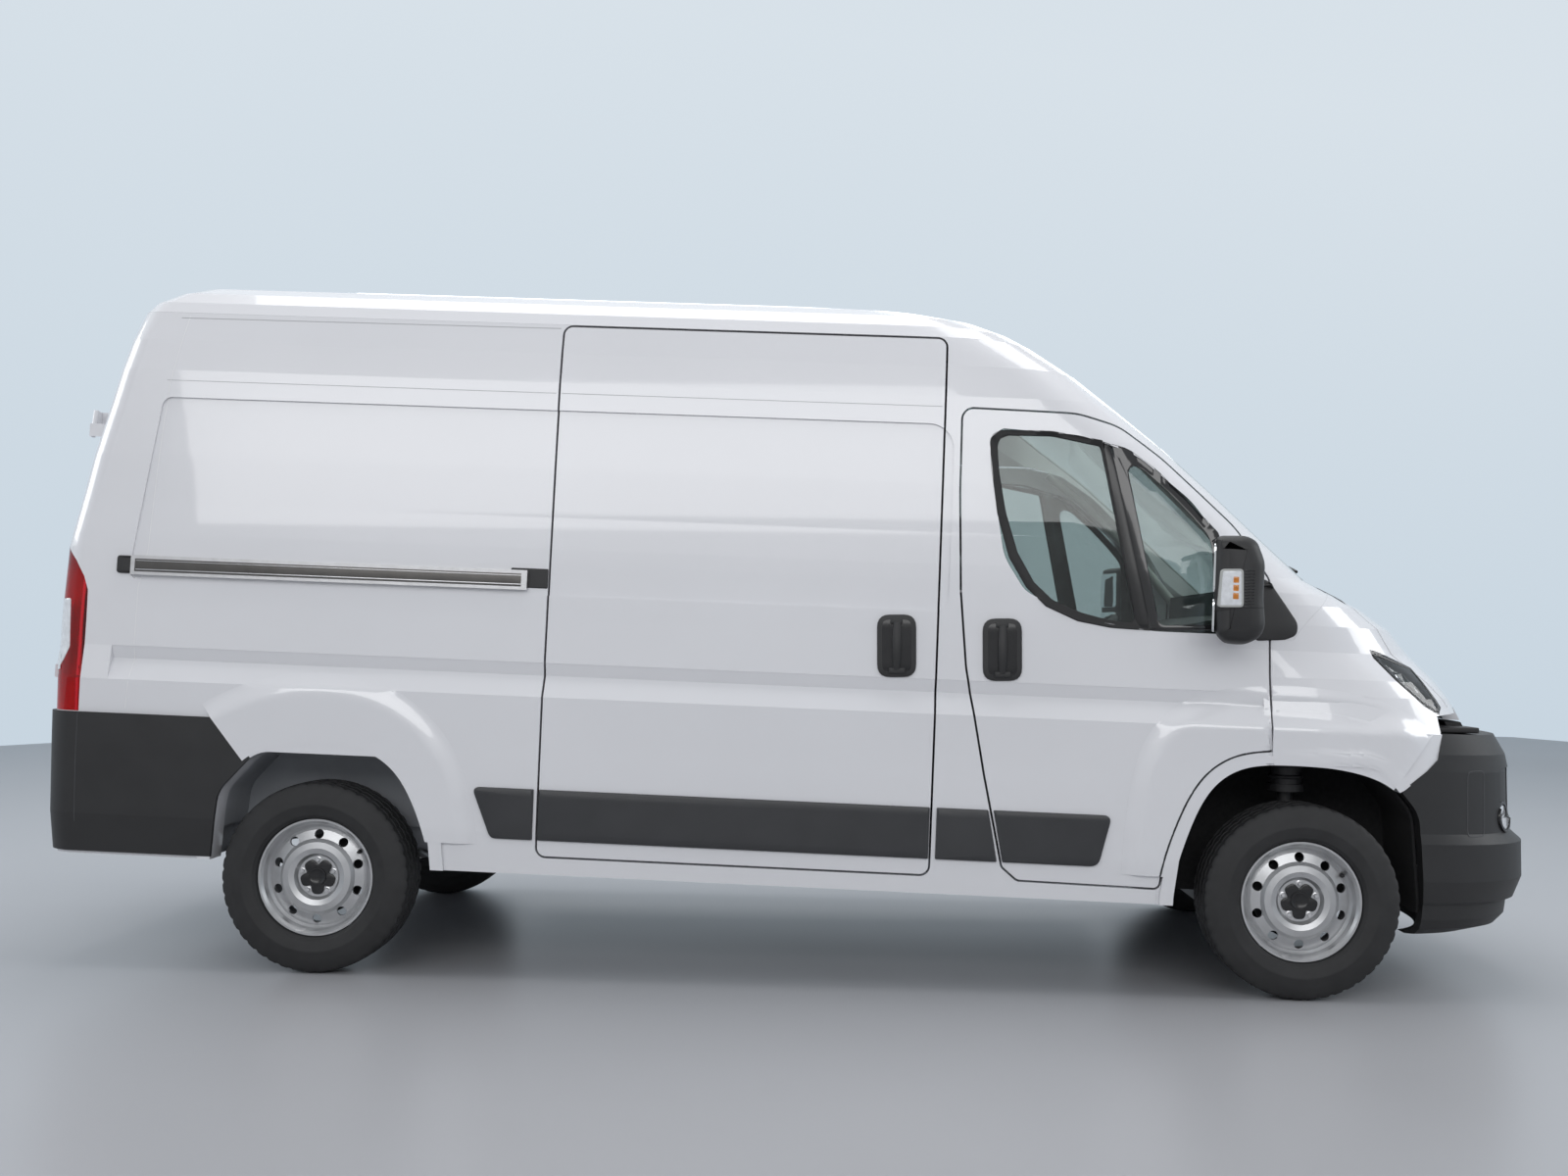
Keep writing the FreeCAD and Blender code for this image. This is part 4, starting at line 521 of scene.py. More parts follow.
REAR_OPENING = metres(
    (-2059, 327), (-2053, 409), (-2045, 498), (-2023, 574), (-1976, 658), (-1920, 699), (-1838, 721),
    (-1710, 733), (-1582, 732), (-1478, 706), (-1399, 640), (-1343, 542), (-1299, 431), (-1275, 320))
FLARE_HEIGHT, FLARE_FADE, FLARE_STEPS, FLARE_FOOT = 0.014, 0.075, 26, 0.404
FIRST_DEGREE, LAST_DEGREE = -10, 190


def smooth_radius(points, centre):
    """The radius of a line about a wheel at each degree, with its corners evened out."""
    raw = [distance_at(points, centre, Vector(around(1, math.radians(k))), 0.02)
           for k in range(FIRST_DEGREE, LAST_DEGREE + 1)]
    known = [r for r in raw if r]
    raw = [r if r else known[0 if i < len(raw) // 2 else -1] for i, r in enumerate(raw)]
    for _ in range(90):
        inner = [(raw[i - 1] + 2 * raw[i] + raw[i + 1]) / 4 for i in range(1, len(raw) - 1)]
        raw = [raw[0], *inner, raw[-1]]
    return raw


def radius_at(table, angle):
    return look_up(table, math.degrees(angle) - FIRST_DEGREE)


OPENINGS = {"front": smooth_radius(FRONT_OPENING, AXLES["front"]),
            "rear": smooth_radius(REAR_OPENING, AXLES["rear"])}
RIDGES = {"front": smooth_radius(FRONT_RIDGE, AXLES["front"]),
          "rear": smooth_radius(REAR_RIDGE, AXLES["rear"])}

# The side's upright profile where it has no flare, as distances from the middle at even heights.
PLAIN_X, PROFILE_FOOT, PROFILE_STEP, PROFILE_COUNT = -1.16, 0.40, 0.005, 150
profile_heights = [PROFILE_FOOT + PROFILE_STEP * k for k in range(PROFILE_COUNT)]
side_profile = {hand: [abs(skin(hand, PLAIN_X, z).y) for z in profile_heights] for hand in SIDE_WORD}
known_side = {}


def profile_at(hand, z):
    return look_up(side_profile[hand], (z - PROFILE_FOOT) / PROFILE_STEP)


def plain_side(hand, x, z):
    """The skin's distance from the middle with no flare on it."""
    above_ridge, lower, nose, step = 1.06, 0.985, 1.9, 0.004
    key = (hand, round(x / step))
    if key not in known_side:
        at = key[1] * step
        plain = profile_at(hand, above_ridge)
        high = abs(skin(hand, at, above_ridge).y) - plain
        low = abs(skin(hand, at, lower).y) - plain if x > nose else high
        w = smooth_step((x - nose) / 0.2)
        known_side[key] = high * (1 - w) + low * w
    return known_side[key] + profile_at(hand, z)


def flare_patch(hand, end, low, high, start, stop=None, x_min=-9.0, x_max=9.0):
    """A pressed skin over a wheel, between two angles and from start to stop beyond the opening's edge."""
    steps = max(8, int(abs(high - low) / 1.5))
    rows = []
    for i in range(steps + 1):
        a = math.radians(low + (high - low) * i / steps)
        edge = radius_at(OPENINGS[end], a) - 0.004
        top = radius_at(RIDGES[end], a)
        r0 = edge + start
        r1 = top + FLARE_FADE if stop is None else edge + stop
        row = []
        for k in range(FLARE_STEPS + 1):
            x, z = around(r0 + (r1 - r0) * k / FLARE_STEPS, a, AXLES[end])
            x, z = min(max(x, x_min), x_max), max(z, FLARE_FOOT)
            now = math.hypot(x - AXLES[end][0], z - AXLES[end][1])
            w = smooth_step((top + FLARE_FADE - now) / FLARE_FADE)
            under = abs(skin(hand, x, z).y)
            base = plain_side(hand, x, z)
            y = max(under * (1 - w) + (base + FLARE_HEIGHT) * w, under if now < top else 0) + 0.0006
            row.append((placed(x, hand * y, z), base))
        rows.append(row)
    n = FLARE_STEPS + 1
    verts = [p for row in rows for p, _ in row]
    faces = grid(steps + 1, n, wrap_columns=False)
    rim = [(i, 0) for i in range(steps + 1)] + [(steps, k) for k in range(1, n)]
    rim += [(i, n - 1) for i in range(steps - 1, -1, -1)] + [(0, k) for k in range(n - 2, 0, -1)]
    first = len(verts)
    for q, (i, k) in enumerate(rim):
        p, base = rows[i][k]
        depth = 0.016 if k == 0 and start == 0 else 0.001
        verts.append(Vector((p.x, hand * (base - depth), p.z)))
        after = (q + 1) % len(rim)
        i2, k2 = rim[after]
        faces.append((i * n + k, i2 * n + k2, first + after, first + q))
    return verts, faces


for hand, word in SIDE_WORD.items():
    for name, end, low, high, start, limits, mat, body in (
            ("rear_flare", "rear", 4, 129.5, 0.0, {}, paint, "root"),
            ("wing_flare", "front", 53, 104, 0.0, {"x_min": 1.6365}, paint, "root"),
            ("wing_lip", "front", 98, 176, 0.0, {"stop": 0.046, "x_max": 1.640}, paint, "root"),
            ("door_flare", "front", 98, 176, 0.0515, {"x_max": 1.6285}, paint, f"cab_door_{word}"),
            ("lip_gap", "front", 98, 176, 0.045, {"stop": 0.0525, "x_max": 1.634}, gap_shadow, "root")):
        patch = flare_patch(hand, end, low, high, start, **limits)
        joined(f"{name}_{word}", [patch], mat, body, sharp=35)

# Wheel-house sheet over each rear wheel, with creases across it and its inner side closed, painted grey as
# the shade inside the arch.
HOUSE_LEVELS = (0.66, 0.74, 0.80, 0.86, 0.915, 0.955, 0.972)
HOUSE_STEPS = 40
for hand, word in SIDE_WORD.items():
    verts = []
    for i in range(HOUSE_STEPS + 1):
        a = math.radians(-4 + 188 * i / HOUSE_STEPS)
        r = radius_at(OPENINGS["rear"], max(0.0, min(math.pi, a)))
        for k, y in enumerate(HOUSE_LEVELS):
            crease = 0.004 if i % 5 == 2 and 0 < k < 5 else 0.0
            x, z = around(r + 0.018 + (0.010 if k < 5 else 0.0) - crease, a, AXLES["rear"])
            verts.append(placed(x, hand * y, z))
    n = len(HOUSE_LEVELS)
    faces = grid(HOUSE_STEPS + 1, n, wrap_columns=False)
    faces += [(i * n, (i + 1) * n, len(verts)) for i in range(HOUSE_STEPS)]
    verts.append((place(*AXLES["rear"])[0], hand * HOUSE_LEVELS[0], 0.46))
    house = new_piece(f"wheel_house_{word}", verts, faces, underbody_shade_grey, "root")
    sheet = house.modifiers.new("sheet", "SOLIDIFY")
    sheet.thickness = 0.002
    sheet.offset = 0

# Side-view outlines of the cab door: glass, posts, mirror and handles.
PANE_OUT = metres(
    (636, 1895), (645, 1923), (673, 1938), (851, 1940), (1035, 1913), (1217, 1250), (1077, 1254), (959, 1273),
    (848, 1320), (778, 1385), (715, 1488), (669, 1640), (642, 1810))
PANE_IN = metres(
    (663, 1886), (672, 1907), (699, 1920), (852, 1922), (1024, 1892), (1161, 1276), (1076, 1280), (975, 1303),
    (872, 1344), (806, 1403), (745, 1506), (699, 1649), (671, 1794))
POST = metres((1031, 1909), (1060, 1900), (1217, 1250), (1164, 1268))
QUARTER_OUT = metres(
    (1060, 1903), (1123, 1889), (1227, 1817), (1331, 1719), (1443, 1604), (1471, 1517), (1479, 1264),
    (1217, 1250))
QUARTER_IN = metres(
    (1123, 1807), (1135, 1829), (1169, 1825), (1263, 1747), (1349, 1662), (1410, 1593), (1423, 1549),
    (1432, 1279), (1245, 1271))
COVER = metres(
    (1598, 1448), (1622, 1436), (1723, 1297), (1721, 1256), (1682, 1237), (1571, 1229), (1575, 1413))
FOOT = metres((1478, 1235), (1526, 1235), (1526, 1400), (1510, 1415))
ARM = ((1.524, 1.000, 1.300), (1.520, 1.030, 1.288), (1.515, 1.060, 1.275), (1.490, 1.090, 1.270))
MIRROR = metres(
    (1378, 1566), (1397, 1576), (1481, 1579), (1517, 1561), (1545, 1490), (1543, 1372), (1552, 1274),
    (1534, 1234), (1486, 1212), (1415, 1216), (1388, 1241), (1377, 1398))
MIRROR_SECTIONS = ((1.036, 0.030), (1.044, 0.012), (1.062, 0.003), (1.10, 0.0), (1.18, 0.0), (1.214, 0.003),
                   (1.236, 0.012), (1.249, 0.028), (1.2545, 0.048))
MIRROR_REAR, MIRROR_FRONT, MIRROR_DEPTH = 1.3795, 1.552, 0.175
MIRROR_MIDDLE, MIRROR_OUTER, MIRROR_TURN = 1.20, 1.2542, 0.30
INDICATOR = metres((1388, 1460), (1462, 1463), (1466, 1336), (1382, 1333))
HANDLE_FRONT = metres((630, 1269), (766, 1275), (774, 1057), (638, 1051))
HANDLE_SLIDE = metres((261, 1268), (398, 1274), (406, 1055), (270, 1049))
STRIP_LOW, STRIP_HIGH = 0.428, 0.606


def door_handle(name, outline, hand, body):
    """A rounded dish with an upright grip bar across its middle."""
    face = on_side(hand)
    dish = soft(outline, 0.045, 0.012)
    bowl = pad(inset(dish, 0.016), lambda u, v, lift: face(u, v, lift + 0.0085), 0.0028, edge=0.002)
    made = [joined(name + "_rim", [pad(dish, face, 0.011, edge=0.006)], black, body),
            joined(name + "_bowl", [bowl], gloss_black, body)]
    cx = sum(p[0] for p in outline) / 4
    cz = sum(p[1] for p in outline) / 4
    height = 0.166
    points, radii = [], []
    for t in shares(12):
        bow = math.sin(math.pi * t)
        points.append(skin_out(hand, cx + 0.004 * (0.5 - t), cz + height * (t - 0.5), 0.013 + 0.0085 * bow))
        radii.append(0.013 + 0.004 * bow)
    grip = tube(points, radii, sides=14, flat=0.62, across=(0, 1, 0))
    lower = soft_box(skin_out(hand, cx + 0.004, cz - height / 2 - 0.004, 0.012), (0.058, 0.014, 0.022), 0.005)
    upper = soft_box(skin_out(hand, cx - 0.004, cz + height / 2 + 0.002, 0.011), (0.044, 0.012, 0.018), 0.005)
    made.append(joined(name + "_grip", [grip, lower, upper], black, body, sharp=50))
    return made


def moulding(low_back, low_front, top_front, top_back, radius, step, face):
    """A rubbing strip of one height, between these lengths along its lower and upper edge."""
    corners = [(low_back, STRIP_LOW), (low_front, STRIP_LOW), (top_front, STRIP_HIGH), (top_back, STRIP_HIGH)]
    return pad(soft(corners, radius, step), face, 0.013, edge=0.007)


def mirror_form(outline, hand):
    """The mirror's sections at distances across the car, with its rear side turned towards the driver."""
    verts = []
    for y, amount in MIRROR_SECTIONS:
        for x, z in inset(outline, amount):
            share = min(1.0, max(0.0, (MIRROR_FRONT - x) / MIRROR_DEPTH))
            verts.append(placed(x + (MIRROR_MIDDLE - y) * MIRROR_TURN * share, hand * y, z))
    n, last = len(outline), len(MIRROR_SECTIONS) - 1
    faces = grid(last + 1, n)
    faces += [tuple(range(n)), tuple(last * n + i for i in reversed(range(n)))]
    return verts, faces


mirror_glass = look("mirror_glass", (0.78, 0.80, 0.81), 0.03, (0.01, 8), metal=1.0, rough_spread=0.01)
amber_lens = glass_material("amber_lens", (0.85, 0.33, 0.05))
lamp_white = look("lamp_reflector_white", (0.70, 0.72, 0.75), 0.16, (0.1, 60), coat=1.0,
                  grain=(0.4, 400, 0.001))
frit = look("ceramic_frit", (0.010, 0.010, 0.011), 0.12, (0.1, 12), coat=0.6)
moulding_black = look("moulding_plastic", (0.034, 0.035, 0.038), 0.42, (0.08, 8), grain=(0.4, 900, 0.0005))

for hand, word in SIDE_WORD.items():
    door = f"cab_door_{word}"
    face = on_side(hand)

    def dress(name, parts, mat, sharp=40):
        return joined(f"{name}_{word}", parts, mat, door, sharp)

    pane = ring(dense(PANE_OUT), dense(PANE_IN), (0.92, 1.62), face, 0.0045)
    dress("pane_seal", [pane], seal_rubber)
    dress("window_post", [pad(soft(POST, 0.004), face, 0.006, edge=0.003)], gloss_black)
    quarter = ring(dense(QUARTER_OUT), soft(QUARTER_IN, 0.02), (1.31, 1.50), face, 0.0022)
    dress("quarter_frit", [quarter], frit)

    # Mirror on the door, its arm, and the fixed cover beside the door's gap.
    mirror = dense(rounded(MIRROR, 0.02, 3), 0.012)
    shell = dress("mirror_shell", [mirror_form(mirror, hand)], black, sharp=60)
    arm = tube([placed(x, hand * y, z) for x, y, z in ARM], 0.024, sides=16, flat=0.8)
    foot = pad(soft(FOOT, 0.02, 0.014), face, 0.022, edge=0.010)
    foot_piece = dress("mirror_foot", [foot, arm], black, sharp=50)
    cover = pad(soft(COVER, 0.02, 0.014), face, 0.008, edge=0.006)
    joined(f"mirror_cover_{word}", [cover], black, sharp=50)

    # Reflecting glasses on the rear face of the mirror: a tall upper one and a wide-angle lower one.
    def mirror_back(y, z, lift):
        wx, _ = place(MIRROR_REAR + (MIRROR_MIDDLE - y) * MIRROR_TURN, z)
        return Vector((wx - lift - 0.0006, hand * y, place(MIRROR_REAR, z)[1]))

    glasses = []
    for z1, z2 in ((1.385, 1.548), (1.252, 1.362)):
        glass = soft([(1.062, z1), (1.226, z1), (1.222, z2), (1.066, z2)], 0.018)
        glasses.append(pad(glass, mirror_back, 0.0012, edge=0.001, sunk=0.006))
    dress("mirror_glass", glasses, mirror_glass)

    # Indicator at the outer end, in a pale frame, with a ribbed strip beside it and a split line below.
    mirror_tree = tree_of(shell)

    def outer_end(x, z, lift):
        wx, wz = place(x, z)
        return Vector((wx, hand * (reach_of(mirror_tree, hand, wx, wz, 1.24 - lift) + lift), wz))

    def lamp_face(x, z, lift):
        return placed(x, hand * (MIRROR_OUTER + lift), z)

    outline = soft(INDICATOR, 0.012, 0.01)
    lamp_frame = ring(outline, inset(outline, 0.007), (1.424, 1.398), lamp_face, 0.0020, sunk=0.022, count=80)
    dress("indicator_frame", [lamp_frame], pale_trim)
    lens = pad(inset(outline, 0.0065), lamp_face, 0.0012, edge=0.0006, sunk=0.022)
    dress("indicator_lens", [lens], lamp_white)
    bars = [pad(box(1.430, z, 1.448, z + 0.020), lamp_face, 0.0017, edge=0.0004)
            for z in (1.362, 1.389, 1.416)]
    dress("indicator_amber", bars, amber_lens)
    heights = [1.335 + k * 0.010 for k in range(13)]
    ribs = [pad(dense(box(1.468, z, 1.500, z + 0.0045)), outer_end, 0.0012, edge=0.0004)
            for z in heights]
    dress("mirror_ribs", ribs, gloss_black)
    cut = [outer_end(1.379 + 0.1655 * t, 1.322 + 0.016 * math.sin(math.pi / 2 * t), 0.0003)
           for t in shares(32)]
    dress("mirror_split", [tube(cut, 0.0016, sides=6)], seal_rubber)

    # Door handle and moulding.
    handle = door_handle(f"door_handle_{word}", HANDLE_FRONT, hand, door)
    strip = moulding(0.727, 1.057, 1.098, 0.690, [0.004, 0.03, 0.03, 0.004], 0.02, face)
    strip = dress("door_moulding", [strip], moulding_black)
    for piece in [shell, foot_piece, strip] + handle:
        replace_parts(piece, f"door_trim_{word}")

# Mouldings on the body side and the sliding door, with its handle.
parts = []
for hand in SIDE_WORD:
    for ends, radius in (((-1.066, -0.918, -0.918, -1.138), [0.02, 0.004, 0.004, 0.03]),
                         ((-0.900, 0.470, 0.470, -0.900), 0.005), ((0.494, 0.708, 0.672, 0.494), 0.005)):
        parts.append(moulding(*ends, radius, 0.025, on_side(hand)))
body_strip = joined("body_mouldings", parts, moulding_black)
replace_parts(body_strip, "side_mouldings")
for piece in door_handle("slide_handle", HANDLE_SLIDE, -1, "root"):
    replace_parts(piece, "side_mouldings")

# Slide rail: black end cap, the pocket in front of it, the channel painted dark as the shade in it, and its
# bright lines.
cap = pad(soft(box(-2.462, 1.309, -2.408, 1.372), 0.012, 0.01), on_side(-1), 0.012)
pocket = pad(soft(box(-1.042, 1.313, -0.908, 1.383), 0.006), on_side(-1), 0.003, edge=0.002)
joined("rail_cap", [cap, pocket], black)
rail_tree = tree_of(nodes["slide_rail"])


def on_rail(x, z, lift):
    wx, wz = place(x, z)
    return Vector((wx, -reach_of(rail_tree, -1, wx, wz, 0.990) - lift, wz))


# The rail's groove is painted dark: painted shade inside the channel.
rail_groove_shade = look("rail_groove_shade", (0.105, 0.100, 0.095), 0.38, (0.12, 14), metal=0.6, grain=(0.1, 400))
groove = pad(box(-2.395, 1.3165, -1.000, 1.3625), on_rail, 0.0008, edge=0.0004)
joined("rail_groove", [groove], rail_groove_shade)
bars = [pad(box(-2.390, z, -1.000, z + w), on_rail, 0.0016, edge=0.0005)
        for z, w in ((1.3225, 0.0035), (1.3545, 0.0025))]
joined("rail_lines", bars, rail_alloy)

# Tyres with grooves, shoulder blocks and a soft sidewall. A section point is radius, distance and kind.
PLAIN, SHOULDER, RIB = 0, 1, 2
TYRE_SECTION = (
    (0.2085, -0.078, PLAIN), (0.2115, -0.092, PLAIN), (0.222, -0.1030, PLAIN), (0.240, -0.1090, PLAIN),
    (0.252, -0.1108, PLAIN), (0.256, -0.1122, PLAIN), (0.261, -0.1122, PLAIN), (0.264, -0.1112, PLAIN),
    (0.283, -0.1095, PLAIN), (0.300, -0.1050, PLAIN), (0.3105, -0.1010, PLAIN), (0.3190, -0.0985, SHOULDER),
    (0.3275, -0.0945, SHOULDER), (0.3325, -0.0890, SHOULDER), (0.3345, -0.0760, SHOULDER),
    (0.3350, -0.0700, PLAIN), (0.3290, -0.0688, PLAIN), (0.3290, -0.0612, PLAIN), (0.3355, -0.0600, RIB),
    (0.3362, -0.0280, RIB), (0.3292, -0.0268, PLAIN), (0.3292, -0.0182, PLAIN), (0.3364, -0.0170, RIB))
TYRE_BORE = ((0.2075, 0.060, PLAIN), (0.2075, -0.060, PLAIN))
BLOCK_PITCH, TYRE_TURNS = 4, 180


def tyre_form(cx, cy):
    rows = [*TYRE_SECTION, *[(r, -h, kind) for r, h, kind in reversed(TYRE_SECTION)], *TYRE_BORE]
    verts = []
    for k, a in enumerate(turns(TYRE_TURNS)):
        d = Vector((math.cos(a), 0, math.sin(a)))
        for r, h, kind in rows:
            cut = 0.0
            if kind == SHOULDER and k % BLOCK_PITCH == 0:
                cut = 0.0045
            if kind == RIB and (k + (0 if h < 0 else 2)) % BLOCK_PITCH == 0:
                cut = 0.0035
            verts.append(Vector((cx, cy + h, AXLE_Z)) + d * (r - cut))
    return verts, grid(TYRE_TURNS, len(rows), wrap_rows=True)


# Fastenings of each wheel: a five-lobed cap with a round middle, bolts between its lobes, valve and weight.
CAP_MIDDLE = ((0.0, 0.0075), (0.020, 0.0075), (0.027, 0.012), (0.031, 0.0115), (0.0325, 0.006), (0.0325, 0.0))
BOLT = ((0.0, 0.013), (0.0068, 0.013), (0.0085, 0.0112), (0.0085, 0.002), (0.0115, 0.001), (0.0115, -0.001))
VALVE = ((0.0, 0.026), (0.0042, 0.026), (0.0045, 0.012), (0.0075, 0.008), (0.0080, -0.004), (0.0, -0.004))
HUB_RADIUS, BOLT_RADIUS, VALVE_RADIUS, VALVE_ANGLE = 0.036, 0.059, 0.172, 0.55
WEIGHT_X, WEIGHT_Z = -0.05, -0.187
lobes = []
for a in turns(120):
    wave = (0.5 + 0.5 * math.cos(5 * (a - math.pi / 2))) ** 2.5
    lobes.append(around(0.064 - 0.021 * wave, a))

for axle, cx, cy in (("front", AXLE_X, 0.9055), ("rear", REAR_AXLE_X, 0.8955)):
    for hand, word in SIDE_WORD.items():
        body = f"{axle}_wheel_{word}"
        tyre = joined(f"{body}_tread", [tyre_form(cx, hand * cy)], tyre_rubber, body, sharp=24)
        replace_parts(tyre, f"tyre_{axle}_{word}")
        wheel_tree = tree_of(nodes[f"wheel_{axle}_{word}"])

        def wheel_face(dx, dz):
            return reach_of(wheel_tree, hand, cx + dx, AXLE_Z + dz, cy)

        def at_wheel(dx, out, dz):
            return Vector((cx + dx, hand * out, AXLE_Z + dz))

        hub = max(wheel_face(*around(HUB_RADIUS, t)) for t in range(6))
        disc = pad(lobes, lambda u, v, lift: at_wheel(u, hub + lift, v), 0.007, edge=0.004, sunk=0.002)
        middle = lathe(CAP_MIDDLE, at_wheel(0, hub, 0), hand, 40)
        joined(f"{body}_cap", [disc, middle], gloss_black, body, sharp=35)
        bolts = []
        for a in turns(5):
            bx, bz = around(BOLT_RADIUS, a + math.pi / 2)
            spot = max(wheel_face(bx, bz), hub - 0.004)
            bolts.append(lathe(BOLT, at_wheel(bx, spot + 0.004, bz), hand, 6))
        joined(f"{body}_bolts", bolts, zinc, body, sharp=25)
        vx, vz = around(VALVE_RADIUS, VALVE_ANGLE)
        valve = lathe(VALVE, at_wheel(vx, wheel_face(vx, vz), vz), hand, 14)
        joined(f"{body}_valve", [valve], seal_rubber, body)

        def weight_face(u, v, lift):
            dx, dz = u + WEIGHT_X, v + WEIGHT_Z
            return at_wheel(dx, wheel_face(dx, dz) + lift, dz)

        weight = pad(rounded(box(-0.016, -0.004, 0.016, 0.004), 0.002), weight_face, 0.003, edge=0.001)
        joined(f"{body}_weight", [weight], zinc, body)

# Thin shadow gaps, painted shade along the gutter and the roof joint, and painted highlights on the bright
# folds of the body side.
seam_dark = look("seam_shadow", (0.055, 0.056, 0.060), 0.7, (0.1, 20))
seam_painted_highlight = look("seam_highlight", (0.80, 0.80, 0.81), 0.3, (0.02, 20), coat=1.0)
seam_shade_grey = look("seam_painted_shade", (0.42, 0.425, 0.44), 0.5, (0.04, 20))
QUARTER_FOLD = metres(
    (-2279, 2257), (-2303, 2120), (-2323, 2003), (-2337, 1860), (-2350, 1620), (-2359, 1400), (-2383, 1258),
    (-2384, 1018), (-2395, 828))
DOOR_BACK, JOINT_Z = -0.915, 2.015
for hand, word in SIDE_WORD.items():
    # The quarter fold's bright line is a painted highlight.
    joined(f"quarter_seam_{word}", [bead(hand, QUARTER_FOLD, 0.0032, 0.0004)], seam_painted_highlight)
    # Grey lines along the roof gutter and the roof joint: painted shade in their grooves.
    gutters = [bead(hand, [(-2.31, 2.250), (DOOR_BACK, 2.256)], 0.004, 0.0005),
               bead(hand, [(-2.335, JOINT_Z), (DOOR_BACK, JOINT_Z)], 0.003, 0.0004)]
    if hand == -1:
        gutters.append(bead(hand, [(-0.895, JOINT_Z), (0.465, JOINT_Z)], 0.003, 0.0004))
    joined(f"panel_joint_{word}", gutters, seam_shade_grey)

# Dark border of each headlamp lens, and the clear part of each tail lamp.
HEADLAMP = metres(
    (2005, 1202), (2034, 1202), (2175, 1157), (2260, 1022), (2241, 1001), (2192, 1026), (2088, 1109),
    (2017, 1185))
TAIL_CLEAR = metres((-2675, 1209), (-2628, 1211), (-2618, 1036), (-2637, 993), (-2668, 949))
for hand, word in SIDE_WORD.items():
    lens = soft(HEADLAMP, 0.01, 0.012)
    border = ring(lens, inset(lens, 0.007), (2.15, 1.11), on_side(hand), 0.0016, count=90)
    joined(f"headlamp_border_{word}", [border], gloss_black)
    clear = pad(soft(TAIL_CLEAR, 0.006, 0.01), on_side(hand), 0.0022, edge=0.001,
                inner_rings=(0.005, 0.010, 0.015, 0.019))
    joined(f"tail_clear_{word}", [clear], lamp_white)


# Seats: a crowned cushion form for each padded part of the CAD seats, on their plain boxes.
def cushion_form(lo, hi, power):
    """A crowned closed form between two corners in the body's own frame, with two sewn channels."""
    half = [(b - a) / 2 for a, b in zip(lo, hi)]
    middle = [(b + a) / 2 for a, b in zip(lo, hi)]
    crown, channel_depth, channel_at, channel_width = 0.93, 0.05, 0.52, 0.045
    long_x = half[0] > half[2]

    def crowned(c):
        c = c / (abs(c.x) ** power + abs(c.y) ** power + abs(c.z) ** power) ** (1 / power)
        edge = (abs(c.x) ** 3 + abs(c.y) ** 3 + abs(c.z) ** 3) / 3
        pinch = 1 - (1 - crown) * edge
        channel = 1 - channel_depth * math.exp(-((abs(c.y) - channel_at) / channel_width) ** 2)
        kx, kz = (pinch, pinch * channel) if long_x else (pinch * channel, pinch)
        return placed(middle[0] + c.x * half[0] * kx, middle[1] + c.y * half[1],
                      middle[2] + c.z * half[2] * kz)

    bm = bmesh.new()
    bmesh.ops.create_cube(bm, size=2.0)
    bmesh.ops.subdivide_edges(bm, edges=bm.edges[:], cuts=17, use_grid_fill=True)
    return form_of(bm, crowned)


SEAT_BACK, SEAT_TOP, SEAT_FLOOR = 0.514, 0.895, 0.455
STEM_X = SEAT_BACK + 0.048
bases, stems = [], []
for name, y_low, y_high in (("driver", 0.19, 0.69), ("middle", -0.353, 0.09), ("outer", -0.80, -0.357)):
    middle = (y_low + y_high) / 2
    pads = {"squab": ((SEAT_BACK + 0.02, y_low, SEAT_TOP - 0.12), (SEAT_BACK + 0.52, y_high, SEAT_TOP), 4.5),
            "back": ((SEAT_BACK, y_low, SEAT_TOP - 0.05), (SEAT_BACK + 0.12, y_high, SEAT_TOP + 0.60), 4.5),
            "headrest": ((SEAT_BACK, middle - 0.12, SEAT_TOP + 0.606),
                         (SEAT_BACK + 0.096, middle + 0.12, SEAT_TOP + 0.774), 3.4)}
    for part, (lo, hi, power) in pads.items():
        form = cushion_form(lo, hi, power)
        piece = joined(f"seat_{part}_{name}", [form], fabric, sharp=60)
        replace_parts(piece, "seats")
    bases.append(soft_box(placed(SEAT_BACK + 0.254, middle, (SEAT_FLOOR + SEAT_TOP - 0.12) / 2),
                          (0.42, y_high - y_low - 0.08, SEAT_TOP - 0.125 - SEAT_FLOOR), 0.012))
    for y in (middle - 0.06, middle + 0.06):
        stems.append(tube([placed(STEM_X, y, SEAT_TOP + up) for up in (0.56, 0.65)], 0.006))
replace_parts(joined("seat_boxes", bases, grey_plastic), "seats")
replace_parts(joined("headrest_stems", stems, chrome), "seats")

# Pillar trims, seen through the glass.
pillars = []
for hand in SIDE_WORD:
    path = [placed(x, hand * (0.775 + (2.02 - z) * 0.05), z) + Vector((-0.01, 0, -0.05))
            for x, z in ((1.05, 2.02), (1.22, 1.90), (1.45, 1.68), (1.66, 1.44))]
    pillars.append(tube(path, 0.030, sides=10, flat=0.7))
joined("pillar_trim", pillars, pale_trim, sharp=60)

